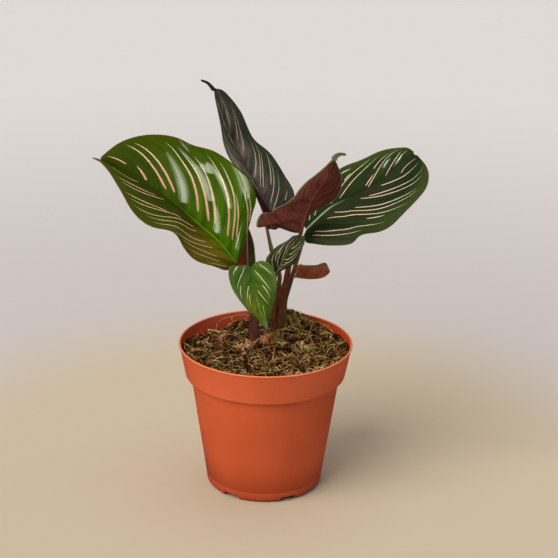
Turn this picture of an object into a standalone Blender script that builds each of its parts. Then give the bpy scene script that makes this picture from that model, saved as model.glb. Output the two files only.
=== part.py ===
"""Pinstripe calathea growing in a 12 cm nursery pot.

Metres, +Z up. The origin lies on the pot's axis, in the plane that the pot stands on. The front is -Y.
Lengths in this file are millimetres, and become metres where a mesh is made.

The leaves were laid out as an eye in front of the plant sees them. Each of their points is written as
(across, up, toward): millimetres to the right and upwards in the eye's picture plane, and millimetres
in front of the pot's axis.
"""

import math

import bmesh
import bpy
from mathutils import Vector, noise

MM = 0.001
GAP = 0.3

# The eye that the leaf points are given for
EYE_DISTANCE = 1300.0
EYE_AIM = Vector((8.5, 0.0, 150.5))
EYE_TILT = math.radians(20.9)
EYE_ROLL = math.radians(0.9)

# Pot
RIM_RADIUS = 60.0
POT_HEIGHT = 104.0
WALL = 1.5
LIP_ROUNDING = 0.7
LIP_HEIGHT = 2.4
LIP_FLARE = 0.7
LIP_CHAMFER = 0.4
COLLAR_HEIGHT = 23.0
COLLAR_EDGE = 1.2
COLLAR_FOOT_RADIUS = 55.4
COLLAR_BASE = POT_HEIGHT - COLLAR_HEIGHT
STEP_FILLET = 0.6
SHOULDER_RADIUS = 51.2
SHOULDER_DROP = 2.0
FOOT_RADIUS = 40.0
CORNER = 2.2
FOOT_RING_RADIUS = 38.4
FOOT_RING_DROP = 1.0
FOOT_RING_WIDTH = 3.0
INNER_CHAMFER = 2.0
BASE_LIFT = 4.2
BASE_DRAFT = 0.3
CENTRE_PAD_RADIUS = 14.0
POT_STEPS = 48
NOTCH_COUNT = 6
NOTCH_WIDTH = 11.5
NOTCH_HEIGHT = 3.7
NOTCH_DEPTH = 12.0
FIRST_NOTCH = math.radians(25.5)
DRAIN_RADIUS = 4.0
DRAIN_RING_RADIUS = 25.0
DRAIN_CUT_HEIGHT = 14.0
DRAIN_SIDES = 16

# Soil
SOIL_LEVEL = 95.0
SURFACE_BAND = 1.0
MOUND_CENTRE = Vector((10.0, 42.0))
MOUND_HEIGHT = 11.0
MOUND_SPREAD = 26.0
MOUND_WALL_DROP = 0.45
MOUND_WALL_RADIUS = 57.0
MOUND_WALL_POWER = 8
LUMP_HEIGHT = 1.6
LUMP_SIZE = 11.0
LUMP_LAYER = 0.27
CRUMB_HEIGHT = 0.8
CRUMB_SIZE = 5.0
CRUMB_LAYER = 1.8
SOIL_STEPS = 48
SOIL_RINGS = 11
STEM_HOLE_SLACK = 0.5
STEM_HOLE_FLOOR = 3.0
STEM_HOLE_SIDES = 20
DEEP_STALK = -30.0

# Blades
BLADE_THICKNESS = 0.7
BROAD_ROW = 6.0
NARROW_ROW = 2.0
LEAST_FACING = 0.5
VEIN_SWEEP = 0.85
VEIN_BEND = 1.6
BLADE_START = 0.02
TIP_SHARE = 0.9
BLADE_END = 0.985
DRIP_HALF_WIDTH = 0.9
DRIP_TAPER = 0.6
ROWS_PER_DRIP_POINT = 2
FOOT_CLEARANCE = 0.2
FOOT_SAMPLES = 20
STALK_REACH = 2.2
SEAT_BEHIND = 0.05
BRIGHT_LEAVES = ("leaf_broad_left", "leaf_front_heart")

# Stalks
STALK_STEP = 4.5
STALK_END_RUN = 2.5
FEWEST_STALK_RINGS = 9
MERGE_DISTANCE = 0.01


def seen(across, up, toward):
    """The place of a leaf point, on the eye's line of sight, this far in front of the pot's axis."""
    ahead = Vector((0.0, math.cos(EYE_TILT), -math.sin(EYE_TILT)))
    level = Vector((1.0, 0.0, 0.0))
    upright = level.cross(ahead)
    right = level * math.cos(EYE_ROLL) + upright * math.sin(EYE_ROLL)
    above = upright * math.cos(EYE_ROLL) - level * math.sin(EYE_ROLL)
    eye = EYE_AIM - ahead * EYE_DISTANCE
    sight = ahead * EYE_DISTANCE + right * across + above * up
    return eye + sight * ((-toward - eye.y) / sight.y)


class Line:
    """A smooth line through a few points, read at any share of its length."""

    SPAN_STEPS = 12

    def __init__(self, points):
        first = points[0] * 2 - points[1]
        last = points[-1] * 2 - points[-2]
        knots = [first, *points, last]
        self.points = []
        for before, start, end, after in zip(knots, knots[1:], knots[2:], knots[3:]):
            for step in range(self.SPAN_STEPS):
                self.points.append(self.between(before, start, end, after, step / self.SPAN_STEPS))
        self.points.append(points[-1])
        self.lengths = [0.0]
        for start, end in zip(self.points, self.points[1:]):
            self.lengths.append(self.lengths[-1] + (end - start).length)

    @staticmethod
    def between(before, start, end, after, share):
        """Catmull-Rom curve with centripetal knots, which makes no loops between uneven points."""
        knot_1 = math.sqrt((start - before).length)
        knot_2 = knot_1 + math.sqrt((end - start).length)
        knot_3 = knot_2 + math.sqrt((after - end).length)
        here = knot_1 + share * (knot_2 - knot_1)
        a_1 = before.lerp(start, here / knot_1)
        a_2 = start.lerp(end, share)
        a_3 = end.lerp(after, (here - knot_2) / (knot_3 - knot_2))
        b_1 = a_1.lerp(a_2, here / knot_2)
        b_2 = a_2.lerp(a_3, (here - knot_1) / (knot_3 - knot_1))
        return b_1.lerp(b_2, share)

    @property
    def length(self):
        return self.lengths[-1]

    def at(self, share):
        wanted = min(max(share, 0.0), 1.0) * self.length
        for index, reached in enumerate(self.lengths[1:]):
            if reached >= wanted:
                break
        run = self.lengths[index + 1] - self.lengths[index]
        return self.points[index].lerp(self.points[index + 1], (wanted - self.lengths[index]) / run)

    def direction(self, share):
        reach = 0.01
        return (self.at(share + reach) - self.at(share - reach)).normalized()


class Blade:
    """A leaf blade: a midrib and two margins, all from the stalk to the tip.

    left and right are the margins as they lie when the upper face is towards the reader and the tip
    is up. crown is how far each half bulges up between midrib and margin, and ruffle how far its
    margin waves. held_from_behind is set where the stalk meets the underside, not the blade's end.
    """

    def __init__(self, midrib, left, right, drip=(), crown=2.0, ruffle=0.8, waves=3.0, rows=20, columns=4,
                 held_from_behind=False):
        spine = [seen(*point) for point in midrib]
        self.midrib = Line(spine)
        self.left = Line([spine[0], *(seen(*point) for point in left), spine[-1]])
        self.right = Line([spine[0], *(seen(*point) for point in right), spine[-1]])
        self.drip = [seen(*point) for point in drip]
        self.crown = crown
        self.ruffle = ruffle
        self.waves = waves
        self.rows = rows
        self.columns = columns
        self.held_from_behind = held_from_behind

    def foot(self):
        """The point where the stalk ends, just short of the blade, and its direction there."""
        heading = self.midrib.direction(BLADE_START)
        rib = self.midrib.at(BLADE_START)
        if self.held_from_behind:
            rib = self.midrib.at(SEAT_BEHIND)
            face = (self.point(SEAT_BEHIND, 0.5) - rib).cross(self.midrib.direction(SEAT_BEHIND))
            face.normalize()
            return rib - face * (BLADE_THICKNESS + GAP + FOOT_CLEARANCE), face
        setback = 0.0
        for step in range(-FOOT_SAMPLES, FOOT_SAMPLES + 1):
            back = rib - self.point(BLADE_START, step / FOOT_SAMPLES)
            if (back - heading * back.dot(heading)).length < STALK_REACH:
                setback = max(setback, back.dot(heading))
        return rib - heading * (setback + GAP + FOOT_CLEARANCE), heading

    def point(self, start, across):
        """A point of the upper face. start is the share of the midrib's length where a side vein leaves
        it, and across runs along that vein, from -1 at the left margin over 0 at the midrib to 1."""
        out = abs(across)
        on_margin = start + VEIN_SWEEP * start * (1.0 - start / BLADE_END)
        along = start + (on_margin - start) * out**VEIN_BEND
        rib = self.midrib.at(along)
        margin = (self.right if across > 0 else self.left).at(along)
        width = margin - rib
        side = 1.0 if across > 0 else -1.0
        face = width.cross(self.midrib.direction(along)) * side
        if face.length > 0:
            face.normalize()
        fullness = math.sqrt(max(4.0 * along * (1.0 - along), 0.0))
        lift = self.crown * math.sin(math.pi * out)
        lift += self.ruffle * math.sin(2.0 * math.pi * self.waves * along + side) * out**2
        return rib + width * out + face * (lift * fullness)

    def drip_point(self, share, across):
        """A point of the drip tip, a narrow tongue beyond the blade's end, as flat as the blade there."""
        line = Line([self.point(BLADE_END, 0.0), *self.drip])
        width = self.point(TIP_SHARE, 1.0) - self.point(TIP_SHARE, -1.0)
        face = width.cross(self.midrib.direction(TIP_SHARE))
        side = line.direction(share).cross(face).normalized()
        half_width = DRIP_HALF_WIDTH * (1.0 - DRIP_TAPER * share)
        return line.at(share) + side * (across * half_width)


BLADES = {
    "leaf_broad_left": Blade(
        midrib=[(-28.5, 9.5, 3), (-41, 25.5, 9), (-57, 39.5, 14), (-74.5, 54.5, 17), (-98.5, 70, 19),
                (-123.5, 81.5, 20)],
        left=[(-35, 6, 8), (-44.5, 8.5, 17), (-56, 12.5, 28), (-64.5, 21, 37), (-72.5, 31.5, 43),
              (-87.5, 36.5, 47), (-99.5, 46, 44), (-109.5, 62, 35), (-116.5, 74, 27)],
        right=[(-23.5, 24, -3), (-18, 43.5, -8), (-15.5, 54.5, -11), (-19.5, 67, -12), (-27.5, 75, -12),
               (-43.5, 87, -10), (-59, 91.5, -6), (-70.5, 96.5, -3), (-84.5, 98.5, 2), (-98, 97, 8),
               (-109.5, 92.5, 13)],
        drip=[(-125.5, 82.2, 20), (-127, 82.6, 20)],
        crown=4.0, ruffle=0.8, rows=22),
    "leaf_tall_back": Blade(
        midrib=[(-6.5, 32, -28), (-9, 44.5, -31), (-16, 60.5, -35), (-23, 77.5, -39), (-34.5, 101.5, -43),
                (-44.5, 130, -44)],
        left=[(-5.5, 37.5, -24), (-6, 45.5, -20), (-9, 52, -18), (-13, 59, -18), (-17.5, 64.5, -18),
              (-25, 71, -19), (-31.5, 79, -22), (-36.5, 90, -27), (-40, 105, -33), (-42.5, 118.5, -39)],
        right=[(0, 35, -33), (7, 45.5, -39), (10.5, 57.5, -44), (3.5, 71, -48), (-6, 86, -49),
               (-17.5, 96, -48), (-26, 114, -46), (-33, 123.5, -45), (-39, 129, -44)],
        drip=[(-48.5, 133.5, -43), (-53, 135.5, -41)],
        crown=2.0, ruffle=0.5, rows=20),
    "leaf_turned": Blade(
        midrib=[(14, 31, 0), (16, 39, 6), (20, 49, 13), (26, 60, 21), (33, 70, 29), (37.4, 82.5, 35)],
        left=[(16, 33.5, -4), (18, 42.5, -7), (24, 48.5, -4), (32, 50.5, 2), (38, 54, 8),
              (41.5, 60.5, 14), (42.5, 69, 22), (41, 74.5, 28)],
        right=[(7.5, 32.5, -2), (-1, 35.5, -5), (-9.5, 36.6, -8), (-14.8, 35.6, -8), (-14.8, 40, -7),
               (-12, 44.5, -4), (-6.5, 45, -1), (-1.5, 48.5, 3), (4, 51.3, 8), (9.5, 55.2, 12),
               (14, 61, 15.5), (18.5, 66, 19), (25.3, 71.2, 24), (32, 76.8, 29.5), (35.2, 80.2, 33)],
        drip=[(40, 85.3, 34.5), (42.5, 85.6, 33.5), (45.5, 84.6, 32)],
        crown=-1.5, ruffle=0.4, rows=20),
    "leaf_right": Blade(
        midrib=[(17.5, 32.5, -14), (24, 39, -15), (34.5, 48.5, -17), (44.5, 54, -18), (65, 64, -17),
                (78.5, 74.5, -14), (93, 86, -10)],
        left=[(17, 39, -18), (20, 47, -21), (27.5, 59.5, -25), (41, 74.5, -29), (55, 81, -29),
              (68.5, 87, -27), (82, 89.5, -21), (87.5, 89.5, -16)],
        right=[(17.5, 28.5, -11), (18.5, 25, -7), (24, 24, -1), (37.5, 23, 5), (49.5, 24, 8),
               (56, 29.5, 7), (68.5, 32.5, 7), (75.5, 36, 6), (85.5, 45, 3), (93, 52.5, 0),
               (100.5, 62.5, -4), (102, 71, -6), (100, 77.5, -8)],
        crown=2.5, ruffle=0.8, rows=22),
    "leaf_small_striped": Blade(
        midrib=[(-2, 4, 2), (3, 13.5, 6), (8.5, 22, 8), (15, 30, 8)],
        left=[(-7, 8, 1), (-9, 13, 2), (-5, 19, 4), (-1, 22.5, 5), (6, 26.5, 6), (10, 29.5, 7)],
        right=[(4, 6.5, 4), (7.5, 8.5, 6), (11, 11, 8), (14.5, 19, 11), (17.5, 25, 10), (17, 28.5, 9)],
        crown=1.5, ruffle=0.3, rows=14, columns=3),
    "leaf_front_heart": Blade(
        midrib=[(-19, 9, 15), (-18, 2, 18), (-16.5, -7.5, 21), (-13.5, -20, 22), (-8, -35, 19)],
        left=[(-16.5, 11, 14), (-12, 12.5, 14), (-6.5, 10.5, 16), (-3, 5, 18), (-1.5, -2.5, 20),
              (-2.5, -11, 21), (-4.5, -20.5, 21), (-6.5, -28, 20)],
        right=[(-22, 9.5, 14), (-27.5, 9, 14), (-33.5, 8.5, 15), (-34.5, 4, 17), (-32.5, -5, 19),
               (-28.5, -12.5, 21), (-22, -20.5, 22), (-14.5, -28, 21)],
        crown=1.5, ruffle=0.3, rows=18, columns=4, held_from_behind=True),
    "leaf_stub": Blade(
        midrib=[(11, 3.2, -28), (18, 1.5, -28), (25, 1, -28), (30.5, 2, -28), (34.5, 5, -28)],
        left=[(13.5, 10, -34), (18, 9.5, -34.5), (25, 9.5, -34.5), (31.5, 11, -34)],
        right=[(13.5, 9.5, -26), (18, 9, -25.5), (25, 8.5, -25.5), (31.5, 10, -26)],
        crown=-1.0, ruffle=0.2, rows=12, columns=3),
    "leaf_folded": Blade(
        midrib=[(-20, -4, -14), (-26, 5, -15), (-27.5, 15, -15), (-25, 26, -15), (-20.5, 34, -15)],
        left=[(-17.5, -0.5, -19), (-16, 11.5, -22), (-16.5, 20, -22), (-18.5, 29.5, -19)],
        right=[(-18.5, -0.5, -11), (-21, 9.5, -8), (-21, 20, -8), (-21.5, 28, -11)],
        crown=-0.8, ruffle=0.2, rows=14, columns=3),
}

# Each stalk: its points (across, up, toward), its radius at each, and the blade that it carries
LEFT_SHOOT = [
    ([(-16.3, -52, -12), (-16.5, -41.5, -12), (-17, -31.5, -11), (-16.5, -17.5, -10), (-17.5, -7.5, -9)],
     (3.7, 3.6, 3.5, 3.1, 2.4), None),
    ([(-17, -12, -9.5), (-20, -3, -6), (-24.5, 4, -1.5)], (2.2, 1.8, 1.5), "leaf_broad_left"),
    ([(-17.3, -10, -9), (-18.3, 0, -2.5), (-19, 5.5, 5)], (2.2, 1.6, 1.3),
     "leaf_front_heart"),
    ([(-17, -12, -10), (-18, -7, -12.5)], (2.0, 1.3), "leaf_folded"),
]
RIGHT_SHOOT = [
    ([(-0.3, -47, -27), (-0.3, -35, -27), (1.4, -14.5, -23), (4.6, -2.5, -18), (6.8, 9, -12),
      (11, 23, -5)], (3.9, 3.7, 3.0, 2.2, 1.9, 1.7), "leaf_turned"),
    ([(-3.3, -46, -28), (-3.3, -35, -28), (-1.3, -14.5, -27), (0, -3, -26), (0.4, 2.7, -26),
      (-2.5, 11.5, -26), (-5, 20, -27)], (3.2, 3.1, 2.1, 1.7, 1.5, 1.4, 1.4), "leaf_tall_back"),
    ([(2.8, -43, -30), (2.8, -33.5, -30), (3.8, -14.5, -27), (7.6, -2.5, -24), (10.6, 7.5, -21),
      (14.5, 20, -17), (16.5, 27, -14.5)], (3.0, 2.9, 2.2, 1.7, 1.4, 1.3, 1.2), "leaf_right"),
    ([(-3, -40, -25), (-3.5, -31.5, -24), (-4, -14.5, -18), (-3.5, -4, -8)], (2.0, 1.9, 1.5, 1.2),
     "leaf_small_striped"),
    ([(3, -12, -26), (6.3, -4, -27.5), (8.5, 1.5, -28)], (1.8, 1.4, 1.2), "leaf_stub"),
]


def clear_scene():
    for obj in list(bpy.data.objects):
        bpy.data.objects.remove(obj, do_unlink=True)


def new_collection(name):
    collection = bpy.data.collections.new(name)
    bpy.context.scene.collection.children.link(collection)
    return collection


def material(name, colour, roughness):
    made = bpy.data.materials.new(name)
    made.use_nodes = True
    shader = made.node_tree.nodes["Principled BSDF"]
    shader.inputs["Base Color"].default_value = (*colour, 1.0)
    shader.inputs["Roughness"].default_value = roughness
    shader.inputs["Metallic"].default_value = 0.0
    return made


def add_object(name, mesh, collection, finish=None):
    obj = bpy.data.objects.new(name, mesh)
    collection.objects.link(obj)
    if finish:
        mesh.materials.append(finish)
    return obj


def mesh_from(shape, name):
    mesh = bpy.data.meshes.new(name)
    shape.to_mesh(mesh)
    shape.free()
    return mesh


def evaluated_mesh(obj):
    depsgraph = bpy.context.evaluated_depsgraph_get()
    return bpy.data.meshes.new_from_object(obj.evaluated_get(depsgraph))


def hide_helpers(objects):
    for obj in objects:
        obj.hide_render = True
        obj.display_type = "WIRE"


def shade_smooth(mesh, angle=40.0):
    mesh.shade_smooth()
    mesh.set_sharp_from_angle(angle=math.radians(angle))


def turned(name, profile, steps, collection):
    """A profile of (radius, height) points, from the top of its outer side down, turned about Z."""
    shape = bmesh.new()
    corners = [shape.verts.new((radius * MM, 0.0, height * MM)) for radius, height in profile]
    for start, end in zip(corners, corners[1:]):
        shape.edges.new((start, end))
    if profile[0][0] > 0:
        shape.edges.new((corners[-1], corners[0]))
    obj = add_object(name, mesh_from(shape, name), collection)
    screw = obj.modifiers.new("Turn", "SCREW")
    screw.steps = steps
    screw.render_steps = steps
    screw.use_merge_vertices = True
    screw.merge_threshold = 0.00005
    turned_mesh = evaluated_mesh(obj)
    obj.modifiers.clear()
    obj.data = turned_mesh
    return obj


def arc(centre, radius, start_deg, end_deg, steps):
    """Points of a round corner, as (radius, height)."""
    points = []
    for step in range(steps + 1):
        angle = math.radians(start_deg + (end_deg - start_deg) * step / steps)
        points.append((centre[0] + radius * math.cos(angle), centre[1] + radius * math.sin(angle)))
    return points


def pot_outside():
    """The pot's outer side, from the rim down to the foot ring."""
    return [
        *arc((RIM_RADIUS - LIP_ROUNDING, POT_HEIGHT - LIP_ROUNDING), LIP_ROUNDING, 90, -20, 3),
        (RIM_RADIUS - LIP_FLARE, POT_HEIGHT - LIP_HEIGHT),
        *arc((COLLAR_FOOT_RADIUS - COLLAR_EDGE, COLLAR_BASE + COLLAR_EDGE), COLLAR_EDGE, -10, -80, 3),
        (SHOULDER_RADIUS + STEP_FILLET, COLLAR_BASE - STEP_FILLET),
        (SHOULDER_RADIUS, COLLAR_BASE - SHOULDER_DROP),
        *arc((FOOT_RADIUS - CORNER, CORNER + FOOT_RING_DROP), CORNER, -8, -62, 4),
        (FOOT_RING_RADIUS, 0.0),
    ]


def pot_inside():
    """The pot's inner side, from the axis out over its base and up to the rim."""
    return [
        (0.0, WALL),
        (CENTRE_PAD_RADIUS - WALL, WALL),
        (CENTRE_PAD_RADIUS - WALL + BASE_DRAFT, BASE_LIFT + WALL),
        (FOOT_RADIUS - WALL - INNER_CHAMFER, BASE_LIFT + WALL),
        (FOOT_RADIUS - WALL, BASE_LIFT + WALL + INNER_CHAMFER),
        (SHOULDER_RADIUS - WALL, COLLAR_BASE - STEP_FILLET),
        (COLLAR_FOOT_RADIUS - WALL, COLLAR_BASE + WALL),
        (RIM_RADIUS - WALL, POT_HEIGHT - LIP_CHAMFER),
        (RIM_RADIUS - WALL + LIP_CHAMFER, POT_HEIGHT),
    ]


def make_pot(collection, helpers, finish):
    ring_inner = FOOT_RING_RADIUS - FOOT_RING_WIDTH
    underside = [
        (ring_inner, 0.0),
        (ring_inner - BASE_DRAFT, BASE_LIFT),
        (CENTRE_PAD_RADIUS + BASE_DRAFT, BASE_LIFT),
        (CENTRE_PAD_RADIUS, 0.0),
        (0.0, 0.0),
    ]
    profile = [*pot_outside(), *underside, *pot_inside()]
    pot = turned("pot", profile, POT_STEPS, collection)
    for index in range(NOTCH_COUNT):
        angle = FIRST_NOTCH + index * 2.0 * math.pi / NOTCH_COUNT - math.pi / 2.0
        outwards = Vector((math.cos(angle), math.sin(angle), 0.0))
        bpy.ops.mesh.primitive_cube_add(size=1.0, location=outwards * FOOT_RADIUS * MM,
                                        rotation=(0.0, 0.0, angle))
        move_to(helpers, f"notch_{index}")
        bpy.context.object.scale = (NOTCH_DEPTH * MM, NOTCH_WIDTH * MM, 2.0 * NOTCH_HEIGHT * MM)
        half_step = math.pi / NOTCH_COUNT
        beside = Vector((math.cos(angle + half_step), math.sin(angle + half_step), 0.0))
        bpy.ops.mesh.primitive_cylinder_add(vertices=DRAIN_SIDES, radius=DRAIN_RADIUS * MM,
                                            depth=DRAIN_CUT_HEIGHT * MM,
                                            location=beside * DRAIN_RING_RADIUS * MM)
        move_to(helpers, f"drain_{index}")
    hide_helpers(helpers.objects)
    cut = pot.modifiers.new("Notches and drains", "BOOLEAN")
    cut.operation = "DIFFERENCE"
    cut.operand_type = "COLLECTION"
    cut.collection = helpers
    pot.data = evaluated_mesh(pot)
    pot.modifiers.clear()
    pot.data.materials.clear()
    pot.data.materials.append(finish)
    shade_smooth(pot.data, 30.0)


def move_to(collection, name):
    """Puts the object that was just added into this collection alone."""
    obj = bpy.context.object
    for owner in list(obj.users_collection):
        owner.objects.unlink(obj)
    collection.objects.link(obj)
    obj.name = name


def soil_height(x, y):
    """The height of the soil's surface: level, heaped round the shoots and lumpy."""
    off_centre = (Vector((x, y)) - MOUND_CENTRE).length
    wall_share = math.hypot(x, y) / MOUND_WALL_RADIUS
    mound = MOUND_HEIGHT * math.exp(-(off_centre**2) / (2.0 * MOUND_SPREAD**2))
    mound *= 1.0 - MOUND_WALL_DROP * min(wall_share, 1.0) ** MOUND_WALL_POWER
    lump = LUMP_HEIGHT * noise.noise(Vector((x / LUMP_SIZE, y / LUMP_SIZE, LUMP_LAYER)))
    crumb = CRUMB_HEIGHT * noise.noise(Vector((x / CRUMB_SIZE, y / CRUMB_SIZE, CRUMB_LAYER)))
    return SOIL_LEVEL + mound + lump + crumb


def make_soil(collection, finish, hole_makers):
    wall = [(max(radius - GAP, 0.0), height + GAP) for radius, height in pot_inside()[:-2]]
    rim_radius = RIM_RADIUS - WALL
    foot_radius = COLLAR_FOOT_RADIUS - WALL
    rise = (SOIL_LEVEL - COLLAR_BASE) / COLLAR_HEIGHT
    edge_radius = foot_radius + (rim_radius - foot_radius) * rise - 2.0 * GAP
    top = [(edge_radius * (1.0 - ring / SOIL_RINGS), SOIL_LEVEL) for ring in range(SOIL_RINGS, -1, -1)]
    profile = [*top, *reversed(wall)]
    soil = turned("soil", profile, SOIL_STEPS, collection)
    for corner in soil.data.vertices:
        if corner.co.z > (SOIL_LEVEL - SURFACE_BAND) * MM:
            corner.co.z = soil_height(corner.co.x / MM, corner.co.y / MM) * MM
    soil.modifiers.new("Flat faces", "TRIANGULATE")
    for index, maker in enumerate(hole_makers):
        cut = soil.modifiers.new(f"Stem hole {index + 1}", "BOOLEAN")
        cut.operation = "DIFFERENCE"
        cut.object = maker
    soil.data = evaluated_mesh(soil)
    soil.modifiers.clear()
    soil.data.materials.clear()
    soil.data.materials.append(finish)
    shade_smooth(soil.data)


def set_depths(lines, depth):
    """Stores at each corner of the upper face the way to the lower face, row by row.

    A broad row follows the surface's own normals. Towards both ends the rows get narrower than the
    blade is thick, so there all corners share the way of the last broad row, square to the midrib,
    and the faces can't cross.
    """
    widths = [(line[-1].co - line[0].co).length / MM for line in lines]
    broad = [row for row, width in enumerate(widths) if width > BROAD_ROW]
    middles = [line[len(line) // 2].co for line in lines]
    for row, line in enumerate(lines):
        nearest = min(max(row, broad[0]), broad[-1])
        common = sum((corner.normal for corner in lines[nearest]), Vector()).normalized()
        run = (middles[min(row + 1, len(lines) - 1)] - middles[max(row - 1, 0)]).normalized()
        common = (common - run * common.dot(run)).normalized()
        own = min(max((widths[row] - NARROW_ROW) / (BROAD_ROW - NARROW_ROW), 0.0), 1.0)
        for corner in line:
            way = common.lerp(corner.normal, own).normalized()
            facing = max(way.dot(corner.normal), LEAST_FACING)
            corner[depth] = -way * (BLADE_THICKNESS / facing) * MM


def make_blade(name, blade, collection, finish):
    """The upper face as a grid of rows along the leaf, split into triangles and extruded downwards."""
    drip_rows = ROWS_PER_DRIP_POINT * len(blade.drip)
    rows = blade.rows + drip_rows
    shape = bmesh.new()
    bmesh.ops.create_grid(shape, x_segments=2 * blade.columns, y_segments=rows, size=1.0)
    depth = shape.verts.layers.float_vector.new("way to the lower face")
    lines = [[] for _ in range(rows + 1)]
    for corner in sorted(shape.verts, key=lambda vert: vert.co.x):
        across = corner.co.x
        row = round((corner.co.y + 1.0) / 2.0 * rows)
        lines[row].append(corner)
        if row <= blade.rows:
            start = BLADE_START + (BLADE_END - BLADE_START) * row / blade.rows
            place = blade.point(start, across)
        else:
            place = blade.drip_point((row - blade.rows) / drip_rows, across)
        corner.co = place * MM
    shape.normal_update()
    set_depths(lines, depth)
    bmesh.ops.triangulate(shape, faces=shape.faces[:], quad_method="FIXED")
    lower = bmesh.ops.extrude_face_region(shape, geom=shape.faces[:], use_keep_orig=True)
    for corner in lower["geom"]:
        if isinstance(corner, bmesh.types.BMVert):
            corner.co += corner[depth]
    shape.verts.layers.float_vector.remove(depth)
    bmesh.ops.recalc_face_normals(shape, faces=shape.faces[:])
    if shape.calc_volume(signed=True) < 0.0:
        bmesh.ops.reverse_faces(shape, faces=shape.faces[:])
    obj = add_object(name, mesh_from(shape, name), collection, finish)
    shade_smooth(obj.data, angle=60.0)


def stalk_route(points, blade_name):
    """The stalk's points in place, ending square to the foot of the blade that it carries."""
    route = [seen(*point) for point in points]
    if blade_name:
        foot, heading = BLADES[blade_name].foot()
        route += [foot - heading * STALK_END_RUN, foot]
    return route


def make_stalk(name, points, radii, blade_name, collection):
    """One round stalk along a smooth line, as a closed mesh."""
    route = stalk_route(points, blade_name)
    widths = [*radii, *[radii[-1]] * (len(route) - len(radii))]
    line = Line(route)
    count = max(FEWEST_STALK_RINGS, round(line.length / STALK_STEP))
    knots = [line.lengths[index * Line.SPAN_STEPS] / line.length for index in range(len(route))]
    curve = bpy.data.curves.new(name, "CURVE")
    curve.dimensions = "3D"
    curve.bevel_depth = MM
    curve.bevel_resolution = 2
    curve.use_fill_caps = True
    spline = curve.splines.new("POLY")
    spline.points.add(count)
    for index, point in enumerate(spline.points):
        share = index / count
        span = next((k for k, knot in enumerate(knots[1:]) if knot >= share), len(knots) - 2)
        mix = (share - knots[span]) / (knots[span + 1] - knots[span])
        point.co = (*(line.at(share) * MM), 1.0)
        point.radius = widths[span] + (widths[span + 1] - widths[span]) * min(max(mix, 0.0), 1.0)
    tube = add_object(name, curve, collection)
    mesh = evaluated_mesh(tube)
    bpy.data.objects.remove(tube, do_unlink=True)
    shape = bmesh.new()
    shape.from_mesh(mesh)
    bmesh.ops.remove_doubles(shape, verts=shape.verts, dist=MERGE_DISTANCE * MM)
    bpy.data.meshes.remove(mesh)
    return add_object(name, mesh_from(shape, name), collection)


def make_shoot(name, stalks, collection, finish):
    """All stalks of one shoot, grown together at the foot."""
    parts = new_collection(f"{name} stalks")
    main_points, main_radii, main_blade = stalks[0]
    shoot = make_stalk(name, main_points, main_radii, main_blade, collection)
    for index, (points, radii, blade_name) in enumerate(stalks[1:]):
        make_stalk(f"{name}_stalk_{index + 1}", points, radii, blade_name, parts)
    join = shoot.modifiers.new("Grown together", "BOOLEAN")
    join.operation = "UNION"
    join.operand_type = "COLLECTION"
    join.collection = parts
    shoot.data = evaluated_mesh(shoot)
    shoot.modifiers.clear()
    for part in list(parts.objects):
        bpy.data.objects.remove(part, do_unlink=True)
    bpy.data.collections.remove(parts)
    shoot.data.materials.clear()
    shoot.data.materials.append(finish)
    shade_smooth(shoot.data)


def hole_maker(name, stalks, helpers):
    """A plain round plug, a little wider than the foot of a shoot, that cuts its hole in the soil."""
    rooted = [(points, radii) for points, radii, _ in stalks if points[0][1] < DEEP_STALK]
    feet = [(seen(*points[1]), radii[1]) for points, radii in rooted]
    centre = sum((foot for foot, _ in feet), Vector()) / len(feet)
    reach = max((foot - centre).xy.length + radius for foot, radius in feet) + GAP + STEM_HOLE_SLACK
    bottom = min(seen(*points[0]).z for points, _ in rooted) - STEM_HOLE_FLOOR
    top = POT_HEIGHT + MOUND_HEIGHT
    middle = Vector((centre.x, centre.y, (top + bottom) / 2.0))
    bpy.ops.mesh.primitive_cylinder_add(vertices=STEM_HOLE_SIDES, radius=reach * MM,
                                        depth=(top - bottom) * MM, location=middle * MM)
    move_to(helpers, name)
    return bpy.context.object


def build():
    clear_scene()
    plant = new_collection("pinstripe calathea")
    pot_cutters = new_collection("pot cutters")
    soil_cutters = new_collection("soil cutters")
    terracotta = material("terracotta plastic", (0.50, 0.10, 0.035), 0.45)
    peat = material("peat", (0.05, 0.03, 0.018), 0.95)
    bright_green = material("bright leaf", (0.06, 0.17, 0.02), 0.3)
    dark_green = material("dark leaf", (0.02, 0.06, 0.03), 0.3)
    maroon = material("maroon stalk", (0.09, 0.02, 0.025), 0.4)
    make_pot(plant, pot_cutters, terracotta)
    for name, blade in BLADES.items():
        make_blade(name, blade, plant, bright_green if name in BRIGHT_LEAVES else dark_green)
    make_shoot("left_shoot", LEFT_SHOOT, plant, maroon)
    make_shoot("right_shoot", RIGHT_SHOOT, plant, maroon)
    makers = [
        hole_maker("left_hole", LEFT_SHOOT, soil_cutters),
        hole_maker("right_hole", RIGHT_SHOOT, soil_cutters),
    ]
    hide_helpers(soil_cutters.objects)
    make_soil(plant, peat, makers)


build()
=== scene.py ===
"""The looks of a pinstripe calathea in its nursery pot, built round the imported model.

The leaves and stalks follow the same points as the solids do. Each point is (across, up, toward):
millimetres to the right and upwards in the picture plane of an eye in front of the plant, and
millimetres in front of the pot's axis. A place on the pot or the soil is in millimetres from the
pot's axis and foot. Lengths become metres where a mesh is made.
"""

import math
import random
from bisect import bisect_left
from dataclasses import dataclass

import bpy
from mathutils import Euler, Matrix, Vector, noise


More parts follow.
